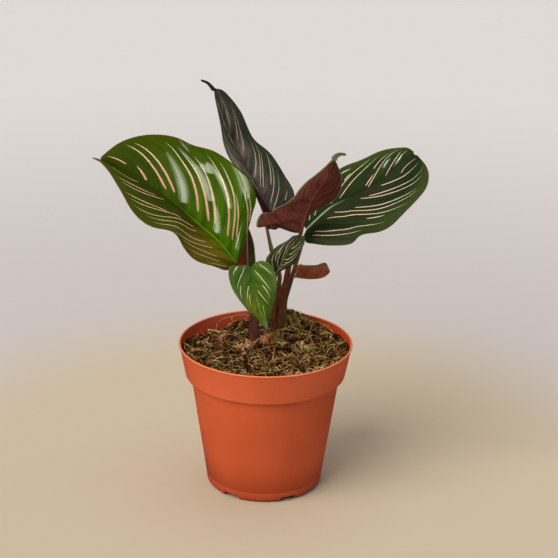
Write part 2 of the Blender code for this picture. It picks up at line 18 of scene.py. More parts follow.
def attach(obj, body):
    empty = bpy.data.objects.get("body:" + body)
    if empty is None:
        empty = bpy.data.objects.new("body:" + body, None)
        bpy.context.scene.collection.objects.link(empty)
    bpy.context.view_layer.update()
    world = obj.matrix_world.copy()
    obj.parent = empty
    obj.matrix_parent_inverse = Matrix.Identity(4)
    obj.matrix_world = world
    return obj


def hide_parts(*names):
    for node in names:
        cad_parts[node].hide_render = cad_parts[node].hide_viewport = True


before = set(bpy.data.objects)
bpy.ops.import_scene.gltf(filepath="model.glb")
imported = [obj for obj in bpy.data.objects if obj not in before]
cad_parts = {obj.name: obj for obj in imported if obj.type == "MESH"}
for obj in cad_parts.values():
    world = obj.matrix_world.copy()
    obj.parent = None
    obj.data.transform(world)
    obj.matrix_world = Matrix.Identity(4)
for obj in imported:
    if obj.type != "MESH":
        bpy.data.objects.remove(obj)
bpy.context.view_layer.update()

MM = 0.001
TURN = 2.0 * math.pi

# The eye that the leaf points are given for, which is the photograph's
EYE_DISTANCE = 1300.0
EYE_AIM = Vector((8.5, 0.0, 150.5))
EYE_TILT = math.radians(20.9)
EYE_ROLL = math.radians(0.9)
EYE_LENS = 123.05

# Pot
RIM_RADIUS = 60.0
POT_HEIGHT = 104.0
WALL = 1.5
COLLAR_BASE = 81.0
COLLAR_HEIGHT = POT_HEIGHT - COLLAR_BASE
COLLAR_FOOT_RADIUS = 55.4
SHOULDER_RADIUS = 51.2
FOOT_RADIUS = 40.0
FOOT_RING_RADIUS = 38.4
FLOOR_LIFT = 4.2
SEAM_HEIGHT = 6.5
POT_STEPS = 192
NOTCH_COUNT = 6
FIRST_NOTCH = math.radians(25.5)
NOTCH_WIDTH = 11.5
NOTCH_HEIGHT = 3.7
NOTCH_DEPTH = 12.0
DRAIN_RADIUS = 4.0
DRAIN_DEPTH = 14.0
DRAIN_FROM_AXIS = 25.0
WALL_MIDDLE = 0.8
PLASTIC = {
    "deep": (0.58, 0.098, 0.030),
    "lit": (0.64, 0.112, 0.036),
    "flow lines": (0.48, 0.065, 0.015),
    # painted light: the collar is painted lighter than the body, standing for more light falling on it
    "collar": (0.80, 0.16, 0.065),
    # painted shade: the inner wall above the soil painted darker
    "inner wall shade": (0.50, 0.056, 0.012),
    # painted shade: the body painted darker towards the foot
    "foot": (0.37, 0.050, 0.015),
    "dust": (0.22, 0.07, 0.035),
    # painted shade: a dark band just under the collar's step
    "shade_under_collar": (0.12, 0.02, 0.007),
    "seam": (0.70, 0.20, 0.08),
    # painted highlight: a lighter band along the top of the rim
    "rim": (0.85, 0.27, 0.12),
}

# Soil
SOIL_LEVEL = 95.0
SOIL_RADIUS = 57.0
SOIL_STEPS = 190
INTO_WALL = 0.6
SOIL_RINGS = ((53.0, 82.0), (49.0, 79.0), (37.5, 8.5))
MOUND_CENTRE = Vector((10.0, 42.0))
MOUND_HEIGHT = 11.0
MOUND_SPREAD = 26.0
HEAP_CENTRE = Vector((14.0, 43.0))
HEAP_HEIGHT = 5.4
HEAP_SPREAD = 11.0
BACK_LEFT_HOLLOW = 3.4
BACK_RIGHT_RISE = 1.6
BACK_FROM_MIDDLE = 34.0
BACK_SPREAD = 14.0
SHRED_COUNT = 1900
STRAW_COUNT = 240
SHRED_STEPS = 6
SHRED_INSET = 0.8
SOIL_SEED = 11
CRUMB_SEED = 23

# Leaves
BLADE_START = 0.02
BLADE_END = 0.985
TIP_SHARE = 0.9
VEIN_SWEEP = 0.85
VEIN_BEND = 1.6
DRIP_TAPER = 0.6
LEAF_THICKNESS = 0.42
PLEAT_HEIGHT = 0.08
PLEATS_FROM_RIB = 5.0
PLEATS_FROM_MARGIN = 2.5
GROOVE_DEPTH = 0.5
GROOVE_WIDTH = 1.3
RIDGE_COVER = 0.25
RIDGE_START = 0.045
RIDGE_END = 0.92
RIDGE_STEPS = 14
RIDGE_THIN = 0.08
RIDGE_THICK = 0.72
COLUMN_POWER = 1.2
DRIP_ROWS = 7
RIM_ON_LEFT = 0.7
REACH_SCALE = 0.4
STRIPE_BLUNTNESS = 0.16
STRIPE_FULLNESS = 1.35

# Stalks
STALK_STEP = 1.2
STALK_LEAST_STEPS = 24
SWELLING = 0.14
SWELLING_LENGTH = 3.0

# Light and floor, with places and sizes in metres
PLANT_MIDDLE = Vector((0.0, 0.0, 0.17))
SOFTBOX_DISTANCE = 1.5
FLOOR_SIZE = 12.0
FLOOR = {"near": (0.57, 0.475, 0.345), "middle": (0.56, 0.515, 0.50), "far": (0.69, 0.66, 0.64)}


def eye_axes():
    """The eye's directions: ahead, to the right and upwards in its picture."""
    ahead = Vector((0.0, math.cos(EYE_TILT), -math.sin(EYE_TILT)))
    level = Vector((1.0, 0.0, 0.0))
    upright = level.cross(ahead)
    right = level * math.cos(EYE_ROLL) + upright * math.sin(EYE_ROLL)
    above = upright * math.cos(EYE_ROLL) - level * math.sin(EYE_ROLL)
    return ahead, right, above


def seen(across, up, toward):
    """The place of a leaf point, on the eye's line of sight, this far in front of the pot's axis."""
    ahead, right, above = eye_axes()
    eye = EYE_AIM - ahead * EYE_DISTANCE
    sight = ahead * EYE_DISTANCE + right * across + above * up
    return eye + sight * ((-toward - eye.y) / sight.y)


class Line:
    """A smooth line through a few points, read at any share of its length."""

    SPAN_STEPS = 12

    def __init__(self, points):
        first = points[0] * 2 - points[1]
        last = points[-1] * 2 - points[-2]
        knots = [first, *points, last]
        self.points = []
        for before, start, end, after in zip(knots, knots[1:], knots[2:], knots[3:]):
            for step in range(self.SPAN_STEPS):
                self.points.append(self.between(before, start, end, after, step / self.SPAN_STEPS))
        self.points.append(points[-1])
        self.lengths = [0.0]
        for start, end in zip(self.points, self.points[1:]):
            self.lengths.append(self.lengths[-1] + (end - start).length)

    @staticmethod
    def between(before, start, end, after, share):
        """The smooth curve from start to end, with knots spaced so that uneven points make no loops."""
        knot_1 = math.sqrt((start - before).length)
        knot_2 = knot_1 + math.sqrt((end - start).length)
        knot_3 = knot_2 + math.sqrt((after - end).length)
        here = knot_1 + share * (knot_2 - knot_1)
        a_1 = before.lerp(start, here / knot_1)
        a_2 = start.lerp(end, share)
        a_3 = end.lerp(after, (here - knot_2) / (knot_3 - knot_2))
        b_1 = a_1.lerp(a_2, here / knot_2)
        b_2 = a_2.lerp(a_3, (here - knot_1) / (knot_3 - knot_1))
        return b_1.lerp(b_2, share)

    @property
    def length(self):
        return self.lengths[-1]

    def at(self, share):
        wanted = min(max(share, 0.0), 1.0) * self.length
        index = min(max(bisect_left(self.lengths, wanted) - 1, 0), len(self.lengths) - 2)
        run = self.lengths[index + 1] - self.lengths[index]
        return self.points[index].lerp(self.points[index + 1], (wanted - self.lengths[index]) / run)

    def direction(self, share):
        reach = 0.01
        return (self.at(share + reach) - self.at(share - reach)).normalized()


class Blade:
    """A leaf blade: a midrib and two margins, all from the stalk to the tip.

    left and right are the margins as they lie when the upper face is towards the reader and the tip
    is up. crown is how far each half bulges up between midrib and margin, and ruffle how far its
    margin waves. sweep is how far the side veins of the left and right half run on towards the tip.
    bays holds how each margin swings out and in, by hundredths of the leaf.
    """

    FIRST_BAY = 3
    BAY_REACH = 12

    def __init__(self, midrib, left, right, drip=(), crown=2.0, ruffle=0.8, waves=3.0,
                 rows=120, columns=34, veins=22, sweep=(0.25, 0.25), drip_width=0.9, groove=0.5):
        spine = [seen(*point) for point in midrib]
        self.midrib = Line(spine)
        self.left = Line([spine[0], *(seen(*point) for point in left), spine[-1]])
        self.right = Line([spine[0], *(seen(*point) for point in right), spine[-1]])
        self.drip = [seen(*point) for point in drip]
        self.crown = crown
        self.ruffle = ruffle
        self.waves = waves
        self.rows = rows
        self.columns = columns
        self.veins = veins
        self.sweep = sweep
        self.drip_width = drip_width
        self.groove = groove
        self.bays = {side: self.bays_along(side) for side in (-1.0, 1.0)}

    def along(self, start, out):
        """How far up the leaf a side vein that leaves the midrib at start has run."""
        on_margin = start + VEIN_SWEEP * start * (1.0 - start / BLADE_END)
        return start + (on_margin - start) * out**VEIN_BEND

    def half(self, along, side):
        """The midrib, the way to one margin and the upper face's direction at a level of the leaf."""
        rib = self.midrib.at(along)
        width = (self.right if side > 0 else self.left).at(along) - rib
        face = width.cross(self.midrib.direction(along)) * side
        if face.length > 0:
            face.normalize()
        return rib, width, face

    def bays_along(self, side):
        """A half's width at each hundredth of the leaf, as a share of its mean width around there."""
        fullness = {}
        for step in range(self.FIRST_BAY, 101 - self.FIRST_BAY):
            along = step / 100.0
            fullness[step] = self.half(along, side)[1].length / math.sqrt(along * (1.0 - along))
        bays = []
        for step in range(101):
            around = range(step - self.BAY_REACH, step + self.BAY_REACH + 1)
            near = [fullness[other] for other in around if other in fullness]
            bays.append(fullness.get(step, sum(near) / len(near)) * len(near) / sum(near))
        return bays

    def even_reach(self, start, across):
        """How far out a point lies, as if its margin had no bays. Stripes follow this."""
        side = 1.0 if across > 0 else -1.0
        place = 100.0 * min(self.along(start, abs(across)), 0.999)
        step = int(place)
        bays = self.bays[side]
        return across * (bays[step] + (bays[step + 1] - bays[step]) * (place - step))

    def surface(self, start, across):
        """A point of the upper face, and how far it lies from the midrib and from the margin."""
        out = abs(across)
        side = 1.0 if across > 0 else -1.0
        along = self.along(start, out)
        rib, width, face = self.half(along, side)
        other_face = self.half(along, -side)[2]
        fullness = math.sqrt(max(4.0 * along * (1.0 - along), 0.0))
        from_rib = width.length * out
        from_margin = width.length - from_rib
        lift = self.crown * math.sin(math.pi * out)
        lift += self.ruffle * math.sin(TURN * self.waves * along + side) * out**2
        vein = start - self.sweep[0 if side < 0 else 1] * out
        away = min(from_rib / PLEATS_FROM_RIB, 1.0) * min(from_margin / PLEATS_FROM_MARGIN, 1.0)
        lift += PLEAT_HEIGHT * math.sin(TURN * self.veins * vein) * away
        place = rib + width * out + face * (lift * fullness)
        middle_face = (face + other_face).normalized()
        groove = self.groove * math.exp(-((from_rib / GROOVE_WIDTH) ** 2))
        place -= middle_face * (groove * fullness)
        return place, from_rib, from_margin

    def drip_point(self, share, across):
        """A point of the drip tip, a narrow tongue beyond the blade's end that lies as flat as it."""
        line = Line([self.surface(BLADE_END, 0.0)[0], *self.drip])
        width = self.surface(TIP_SHARE, 1.0)[0] - self.surface(TIP_SHARE, -1.0)[0]
        face = width.cross(self.midrib.direction(TIP_SHARE))
        side = line.direction(share).cross(face).normalized()
        half_width = self.drip_width * (1.0 - DRIP_TAPER * share)
        return line.at(share) + side * (across * half_width)

    def underside(self, along, depth):
        """A place this deep under the midrib."""
        rib, _, left_face = self.half(along, -1.0)
        right_face = self.half(along, 1.0)[2]
        return rib - (left_face + right_face).normalized() * depth


BLADES = {
    "leaf_broad_left": Blade(
        midrib=[(-28.5, 9.5, 3), (-41, 25.5, 9), (-57, 39.5, 14), (-74.5, 54.5, 17), (-98.5, 70, 19),
                (-123.5, 81.5, 20)],
        left=[(-35, 6, 8), (-44.5, 8.5, 17), (-56, 12.5, 28), (-64.5, 21, 37), (-72.5, 31.5, 43),
              (-87.5, 36.5, 47), (-99.5, 46, 44), (-109.5, 62, 35), (-116.5, 74, 27)],
        right=[(-23.5, 24, -3), (-18, 43.5, -8), (-15.5, 54.5, -11), (-19.5, 67, -12), (-27.5, 75, -12),
               (-43.5, 87, -10), (-59, 91.5, -6), (-70.5, 96.5, -3), (-84.5, 98.5, 2), (-98, 97, 8),
               (-109.5, 92.5, 13)],
        drip=[(-125.5, 82.2, 20), (-127, 82.6, 20)],
        crown=4.0, ruffle=0.8, rows=150, columns=44, veins=24, sweep=(0.27, 0.2)),
    "leaf_tall_back": Blade(
        midrib=[(-6.5, 32, -28), (-9, 44.5, -31), (-16, 60.5, -35), (-23, 77.5, -39),
                (-34.5, 101.5, -43), (-44.5, 130, -44)],
        left=[(-5.5, 37.5, -24), (-6, 45.5, -20), (-9, 52, -18), (-13, 59, -18), (-17.5, 64.5, -18),
              (-25, 71, -19), (-31.5, 79, -22), (-36.5, 90, -27), (-40, 105, -33), (-42.5, 118.5, -39)],
        right=[(0, 35, -33), (7, 45.5, -39), (10.5, 57.5, -44), (3.5, 71, -48), (-6, 86, -49),
               (-17.5, 96, -48), (-26, 114, -46), (-33, 123.5, -45), (-39, 129, -44)],
        drip=[(-48.5, 133.5, -43), (-53, 135.5, -41)],
        crown=2.0, ruffle=0.5, rows=140, columns=30, veins=22, sweep=(0.4, 0.26), drip_width=1.5,
        groove=0.2),
    "leaf_turned": Blade(
        midrib=[(14, 31, 0), (16, 39, 6), (20, 49, 13), (26, 60, 21), (33, 70, 29), (37.4, 82.5, 35)],
        left=[(16, 33.5, -4), (18, 42.5, -7), (24, 48.5, -4), (32, 50.5, 2), (38, 54, 8),
              (41.5, 60.5, 14), (42.5, 69, 22), (41, 74.5, 28)],
        right=[(7.5, 32.5, -2), (-1, 35.5, -5), (-9.5, 36.6, -8), (-14.8, 35.6, -8), (-14.8, 40, -7),
               (-12, 44.5, -4), (-6.5, 45, -1), (-1.5, 48.5, 3), (4, 51.3, 8), (9.5, 55.2, 12),
               (14, 61, 15.5), (18.5, 66, 19), (25.3, 71.2, 24), (32, 76.8, 29.5), (35.2, 80.2, 33)],
        drip=[(39.5, 84.3, 34.5), (42.4, 85.2, 33.5), (45.5, 84.9, 32)],
        crown=-1.5, ruffle=0.4, rows=120, columns=30, veins=18, drip_width=2.1),
    "leaf_right": Blade(
        midrib=[(17.5, 32.5, -14), (24, 39, -15), (34.5, 48.5, -17), (44.5, 54, -18), (65, 64, -17),
                (78.5, 74.5, -14), (93, 86, -10)],
        left=[(17, 39, -18), (20, 47, -21), (27.5, 59.5, -25), (41, 74.5, -29), (55, 81, -29),
              (68.5, 87, -27), (82, 89.5, -21), (87.5, 89.5, -16)],
        right=[(17.5, 28.5, -11), (18.5, 25, -7), (24, 24, -1), (37.5, 23, 5), (49.5, 24, 8),
               (56, 29.5, 7), (68.5, 32.5, 7), (75.5, 36, 6), (85.5, 45, 3), (93, 52.5, 0),
               (100.5, 62.5, -4), (102, 71, -6), (100, 77.5, -8)],
        crown=2.5, ruffle=0.8, rows=140, columns=40, veins=22, sweep=(0.27, 0.5)),
    "leaf_small_striped": Blade(
        midrib=[(-2, 4, 2), (3, 13.5, 6), (8.5, 22, 8), (15, 30, 8)],
        left=[(-7, 8, 1), (-9, 13, 2), (-5, 19, 4), (-1, 22.5, 5), (6, 26.5, 6), (10, 29.5, 7)],
        right=[(4, 6.5, 4), (7.5, 8.5, 6), (11, 11, 8), (14.5, 19, 11), (17.5, 25, 10), (17, 28.5, 9)],
        crown=1.5, ruffle=0.3, rows=70, columns=20, veins=14, sweep=(0.8, 0.27)),
    "leaf_front_heart": Blade(
        midrib=[(-19, 9, 15), (-18, 2, 18), (-16.5, -7.5, 21), (-13.5, -20, 22), (-8, -35, 19)],
        left=[(-16.5, 11, 14), (-12, 12.5, 14), (-6.5, 10.5, 16), (-3, 5, 18), (-1.5, -2.5, 20),
              (-2.5, -11, 21), (-4.5, -20.5, 21), (-6.5, -28, 20)],
        right=[(-22, 9.5, 14), (-27.5, 9, 14), (-33.5, 8.5, 15), (-34.5, 4, 17), (-32.5, -5, 19),
               (-28.5, -12.5, 21), (-22, -20.5, 22), (-14.5, -28, 21)],
        crown=1.5, ruffle=0.3, rows=90, columns=26, veins=13, sweep=(0.5, 0.5), groove=0.15),
    "leaf_stub": Blade(
        midrib=[(11, 3.2, -28), (18, 1.5, -28), (25, 1, -28), (30.5, 2, -28), (34.5, 5, -28)],
        left=[(13.5, 10, -34), (18, 9.5, -34.5), (25, 9.5, -34.5), (31.5, 11, -34)],
        right=[(13.5, 9.5, -26), (18, 9, -25.5), (25, 8.5, -25.5), (31.5, 10, -26)],
        crown=-1.0, ruffle=0.2, rows=60, columns=16, veins=9),
    "leaf_folded": Blade(
        midrib=[(-20, -4, -14), (-26, 5, -15), (-27.5, 15, -15), (-25, 26, -15), (-20.5, 34, -15)],
        left=[(-18.5, -0.5, -11), (-21, 9.5, -8), (-21, 20, -8), (-21.5, 28, -11)],
        right=[(-17.5, -0.5, -19), (-16, 11.5, -22), (-16.5, 20, -22), (-18.5, 29.5, -19)],
        crown=-0.8, ruffle=0.2, rows=70, columns=18, veins=12),
}


@dataclass
class Look:
    """The colours and markings of one leaf.

    upper, tip and outer are the upper face's colour near the stalk, near the tip and near the
    margins. left and left_tip are those of the left half near the stalk and near the tip. dark fills
    the bands between the side veins, and sheen is a painted sheen, a reflection painted into the
    colour next to the midrib, sheen_share strong. The midrib turns from rib to rib_tip over rib_fade
    of the leaf, and the drip tip's colour starts at drip_from. under and under_dark are the
    underside's, and rim is how wide its pale margin is on the right half, in millimetres. specular is
    how much the upper face reflects where it isn't glossy.

    A stripe is where its inner and outer end lie, each as a share of the midrib's length and of the
    way to the margin, and how far it bows out between them. It turns from stripe_inner to
    stripe_outer. left_width and right_width are the stripes' widths as a share of the midrib's
    length, and left_lines and right_lines the strength of the fine pale lines between the stripes.
    gloss_patches are laid out like stripes, each with its own width.
    """

    upper: tuple
    tip: tuple
    outer: tuple
    left: tuple
    dark: tuple
    rib: tuple
    rib_tip: tuple
    under: tuple
    under_dark: tuple
    margin: tuple
    left_tip: tuple = ()
    rib_fade: tuple = (0.25, 0.65)
    # painted sheen: a reflection painted into the colour next to the midrib
    sheen: tuple = (0.05, 0.05, 0.03)
    sheen_share: float = 0.0
    specular: float = 0.04
    rim: float = 0.7
    drip: tuple = (0.05, 0.035, 0.02)
    drip_from: float = 0.97
    left_width: float = 0.0065
    right_width: float = 0.0065
    stripe_inner: tuple = (0.90, 0.46, 0.31)
    stripe_outer: tuple = (0.86, 0.70, 0.42)
    left_lines: float = 0.0
    right_lines: float = 0.0
    line_colour: tuple = (0.38, 0.36, 0.26)
    gloss_on_left: bool = False
    gloss_patches: tuple = ()
    left_stripes: tuple = ()
    right_stripes: tuple = ()


LOOKS = {
    "leaf_broad_left": Look(
        upper=(0.10, 0.235, 0.001), tip=(0.046, 0.068, 0.003), outer=(0.048, 0.070, 0.002),
        left=(0.25, 0.21, 0.012), left_tip=(0.050, 0.053, 0.006), dark=(0.026, 0.058, 0.001),
        rib=(0.17, 0.42, 0.005), rib_tip=(0.035, 0.06, 0.004), specular=0.008,
        under=(0.12, 0.04, 0.03), under_dark=(0.06, 0.015, 0.012), margin=(0.16, 0.06, 0.025),
        drip=(0.14, 0.11, 0.06),
        left_width=0.0048, right_width=0.0095,
        gloss_patches=(
            (0.485, 0.08, 0.59, 0.70, 0.01, 0.040), (0.36, 0.35, 0.49, 0.82, 0.01, 0.032),
            (0.26, 0.50, 0.41, 0.88, 0.0, 0.028), (0.225, 0.05, 0.33, 0.36, 0.0, 0.032),
            (0.38, 0.66, 0.46, 1.04, 0.0, 0.060), (0.18, 0.76, 0.27, 1.08, 0.0, 0.050),
            (0.05, 0.16, 0.15, 0.70, 0.0, 0.038)),
        left_stripes=(
            (0.745, 0.21, 0.89, 0.53, -0.03), (0.625, 0.25, 0.77, 0.80, 0.02),
            (0.58, 0.22, 0.725, 0.80, 0.012), (0.49, 0.54, 0.63, 0.91, 0.035),
            (0.41, 0.50, 0.595, 0.90, 0.029), (0.355, 0.32, 0.555, 0.93, -0.03),
            (0.325, 0.38, 0.485, 0.91, -0.035), (0.245, 0.41, 0.43, 0.96, -0.03),
            (0.19, 0.42, 0.315, 0.97, 0.0), (0.135, 0.61, 0.28, 0.92, 0.015),
            (0.10, 0.71, 0.235, 0.91, 0.0), (0.055, 0.71, 0.125, 0.92, -0.013)),
        right_stripes=(
            (0.84, 0.21, 0.94, 0.41, 0.0), (0.72, 0.05, 0.785, 0.24, 0.0),
            (0.605, 0.09, 0.765, 0.84, 0.034), (0.555, 0.12, 0.715, 0.85, 0.025),
            (0.395, 0.12, 0.55, 0.88, 0.015), (0.32, 0.13, 0.50, 0.86, 0.022),
            (0.28, 0.17, 0.435, 0.79, 0.014), (0.18, 0.23, 0.37, 0.91, 0.012),
            (0.14, 0.30, 0.32, 0.90, 0.011), (0.135, 0.44, 0.26, 0.71, 0.0),
            (0.07, 0.94, 0.245, 0.86, 0.03), (0.105, 0.94, 0.20, 0.90, 0.005))),
    # Its greyish upper face, left half and tip are partly a painted grey sheen over a dark green, with
    # more painted sheen next to the midrib.
    "leaf_tall_back": Look(
        upper=(0.045, 0.046, 0.032), tip=(0.045, 0.038, 0.027), outer=(0.016, 0.033, 0.010),
        left=(0.062, 0.048, 0.036), dark=(0.012, 0.014, 0.008),
        rib=(0.10, 0.09, 0.07), rib_tip=(0.05, 0.045, 0.03), sheen=(0.25, 0.205, 0.175),
        sheen_share=1.0, specular=0.02,
        under=(0.085, 0.02, 0.016), under_dark=(0.035, 0.008, 0.008), margin=(0.05, 0.035, 0.02),
        drip=(0.014, 0.008, 0.006),
        left_width=0.0046, right_width=0.0050, stripe_inner=(0.82, 0.62, 0.46),
        stripe_outer=(0.50, 0.54, 0.30), left_lines=0.35, right_lines=0.10,
        line_colour=(0.40, 0.36, 0.27),
        left_stripes=(
            (0.46, 0.48, 0.60, 0.95, 0.0), (0.38, 0.78, 0.57, 0.92, 0.0),
            (0.34, 0.90, 0.52, 0.96, 0.0), (0.57, 0.10, 0.66, 0.85, 0.0),
            (0.66, 0.68, 0.86, 0.80, 0.0), (0.30, 0.68, 0.55, 0.76, 0.01),
            (0.24, 0.78, 0.47, 0.87, 0.0), (0.20, 0.88, 0.40, 0.97, 0.0),
            (0.18, 0.60, 0.42, 0.65, 0.0), (0.62, 0.35, 0.78, 0.90, 0.0),
            (0.74, 0.30, 0.90, 0.85, 0.0), (0.10, 0.70, 0.28, 0.80, 0.0)),
        right_stripes=(
            (0.75, 0.17, 0.93, 0.42, -0.006), (0.63, 0.18, 0.79, 0.69, -0.02),
            (0.55, 0.17, 0.785, 0.76, -0.038), (0.37, 0.11, 0.515, 0.78, 0.014),
            (0.295, 0.15, 0.45, 0.87, 0.043), (0.285, 0.22, 0.425, 0.75, 0.027),
            (0.275, 0.46, 0.37, 0.95, 0.014), (0.185, 0.29, 0.34, 0.85, 0.006),
            (0.14, 0.34, 0.275, 0.81, 0.0), (0.16, 0.78, 0.19, 0.88, 0.0))),
    "leaf_turned": Look(
        upper=(0.03, 0.075, 0.02), tip=(0.09, 0.15, 0.07), outer=(0.04, 0.10, 0.02),
        left=(0.03, 0.07, 0.02), dark=(0.012, 0.03, 0.01),
        rib=(0.14, 0.2, 0.08), rib_tip=(0.08, 0.1, 0.05),
        under=(0.15, 0.042, 0.028), under_dark=(0.05, 0.010, 0.006), margin=(0.20, 0.26, 0.08),
        rim=1.6, drip=(0.17, 0.21, 0.10),
        left_stripes=(
            (0.22, 0.3, 0.4, 0.85, 0.0), (0.34, 0.15, 0.52, 0.9, 0.02),
            (0.48, 0.2, 0.66, 0.85, 0.0), (0.62, 0.2, 0.8, 0.8, 0.02)),
        right_stripes=(
            (0.20, 0.25, 0.36, 0.9, 0.0), (0.35, 0.2, 0.5, 0.9, 0.02), (0.5, 0.2, 0.66, 0.85, 0.02),
            (0.65, 0.15, 0.8, 0.85, 0.0))),
    # Its olive outer colour near the margins is partly painted sheen, and its sheen is a brownish
    # painted sheen next to the midrib.
    "leaf_right": Look(
        upper=(0.032, 0.043, 0.012), tip=(0.010, 0.028, 0.004), outer=(0.050, 0.072, 0.016),
        left=(0.022, 0.046, 0.006), dark=(0.006, 0.013, 0.003),
        rib=(0.42, 0.58, 0.34), rib_tip=(0.022, 0.036, 0.012), rib_fade=(0.12, 0.42),
        sheen=(0.06, 0.05, 0.03), sheen_share=0.4, specular=0.02,
        under=(0.09, 0.02, 0.02), under_dark=(0.04, 0.009, 0.01), margin=(0.09, 0.07, 0.02),
        right_width=0.0052, stripe_inner=(0.92, 0.60, 0.45), stripe_outer=(0.80, 0.76, 0.50),
        gloss_on_left=True,
        gloss_patches=(
            (0.70, 0.30, 0.76, 0.68, 0.0, 0.022), (0.80, 0.06, 0.87, 0.44, 0.0, 0.026)),
        left_stripes=(
            (0.34, 0.13, 0.58, 0.85, 0.0), (0.345, 0.44, 0.49, 0.89, 0.0),
            (0.365, 0.58, 0.40, 0.70, 0.0), (0.56, 0.04, 0.735, 0.94, 0.03),
            (0.545, 0.11, 0.615, 0.32, 0.0), (0.60, 0.47, 0.68, 0.77, -0.006),
            (0.715, 0.03, 0.815, 0.76, 0.04), (0.845, 0.27, 0.895, 0.65, -0.006),
            (0.075, 0.41, 0.09, 0.61, 0.0), (0.125, 0.28, 0.145, 0.44, 0.0),
            (0.265, 0.13, 0.30, 0.19, 0.0), (0.315, 0.86, 0.375, 0.84, 0.0)),
        right_stripes=(
            (0.795, 0.22, 0.955, 0.40, 0.045), (0.64, 0.11, 0.91, 0.56, 0.0),
            (0.52, 0.18, 0.82, 0.83, 0.028), (0.465, 0.15, 0.77, 0.86, 0.016),
            (0.385, 0.32, 0.655, 0.83, 0.005), (0.265, 0.20, 0.63, 0.88, -0.004),
            (0.205, 0.27, 0.52, 0.88, 0.014), (0.355, 0.66, 0.425, 0.76, 0.0),
            (0.10, 0.57, 0.38, 0.89, 0.004), (0.08, 0.69, 0.265, 0.87, 0.003))),
    "leaf_small_striped": Look(
        upper=(0.025, 0.04, 0.006), tip=(0.03, 0.03, 0.006), outer=(0.02, 0.04, 0.006),
        left=(0.028, 0.034, 0.006), dark=(0.01, 0.018, 0.004),
        rib=(0.12, 0.16, 0.06), rib_tip=(0.06, 0.06, 0.02),
        under=(0.09, 0.025, 0.015), under_dark=(0.04, 0.01, 0.008), margin=(0.08, 0.05, 0.02),
        left_width=0.0085, right_width=0.0085, stripe_inner=(0.80, 0.66, 0.42),
        stripe_outer=(0.66, 0.66, 0.40), left_lines=0.4, right_lines=0.4,
        left_stripes=(
            (0.155, 0.13, 0.545, 0.42, -0.01), (0.28, 0.37, 0.57, 0.66, -0.04),
            (0.335, 0.08, 0.70, 0.63, 0.065), (0.45, 0.12, 0.69, 0.32, 0.0),
            (0.515, 0.07, 0.825, 0.20, 0.0), (0.665, 0.02, 0.955, 0.22, 0.0),
            (0.12, 0.45, 0.36, 0.80, 0.0), (0.42, 0.45, 0.66, 0.85, -0.02),
            (0.60, 0.35, 0.84, 0.60, 0.0)),
        right_stripes=(
            (0.385, 0.09, 0.61, 0.91, -0.053), (0.32, 0.25, 0.505, 0.93, -0.06),
            (0.20, 0.05, 0.445, 0.82, -0.02), (0.085, 0.09, 0.325, 0.92, -0.005),
            (0.52, 0.20, 0.70, 0.85, -0.03), (0.66, 0.10, 0.84, 0.70, -0.02))),
    "leaf_front_heart": Look(
        upper=(0.045, 0.095, 0.012), tip=(0.21, 0.28, 0.01), outer=(0.075, 0.16, 0.03),
        left=(0.078, 0.145, 0.007), dark=(0.022, 0.056, 0.005),
        rib=(0.05, 0.11, 0.01), rib_tip=(0.16, 0.24, 0.05), specular=0.01,
        under=(0.1, 0.06, 0.03), under_dark=(0.06, 0.02, 0.015), margin=(0.13, 0.18, 0.05),
        drip=(0.32, 0.36, 0.20), drip_from=0.78,
        left_width=0.0060, right_width=0.0060, stripe_inner=(0.90, 0.74, 0.52),
        stripe_outer=(0.86, 0.84, 0.62), left_lines=0.3, right_lines=0.3,
        line_colour=(0.20, 0.32, 0.10),
        left_stripes=(
            (0.07, 0.82, 0.22, 0.92, 0.04), (0.105, 0.30, 0.38, 0.74, 0.035),
            (0.315, 0.35, 0.46, 0.72, 0.0), (0.37, 0.13, 0.545, 0.62, 0.03),
            (0.48, 0.02, 0.69, 0.03, 0.0), (0.58, 0.22, 0.805, 0.32, 0.0)),
        right_stripes=(
            (0.045, 0.68, 0.31, 0.80, 0.08), (0.095, 0.95, 0.15, 0.83, 0.0),
            (0.075, 0.95, 0.19, 0.83, 0.0), (0.305, 0.22, 0.46, 0.43, 0.0),
            (0.415, 0.27, 0.56, 0.42, 0.0), (0.29, 0.56, 0.41, 0.74, 0.0))),
    "leaf_stub": Look(
        upper=(0.04, 0.07, 0.02), tip=(0.05, 0.08, 0.02), outer=(0.05, 0.09, 0.02),
        left=(0.04, 0.07, 0.02), dark=(0.015, 0.03, 0.01),
        rib=(0.1, 0.12, 0.05), rib_tip=(0.1, 0.1, 0.05),
        under=(0.47, 0.12, 0.045), under_dark=(0.17, 0.035, 0.013), margin=(0.13, 0.15, 0.04)),
    "leaf_folded": Look(
        upper=(0.09, 0.075, 0.01), tip=(0.08, 0.07, 0.01), outer=(0.09, 0.07, 0.01),
        left=(0.09, 0.075, 0.01), dark=(0.03, 0.03, 0.006),
        rib=(0.1, 0.1, 0.05), rib_tip=(0.08, 0.06, 0.03),
        under=(0.17, 0.026, 0.004), under_dark=(0.10, 0.014, 0.003), margin=(0.35, 0.2, 0.16),
        left_lines=0.35, right_lines=0.35),
}

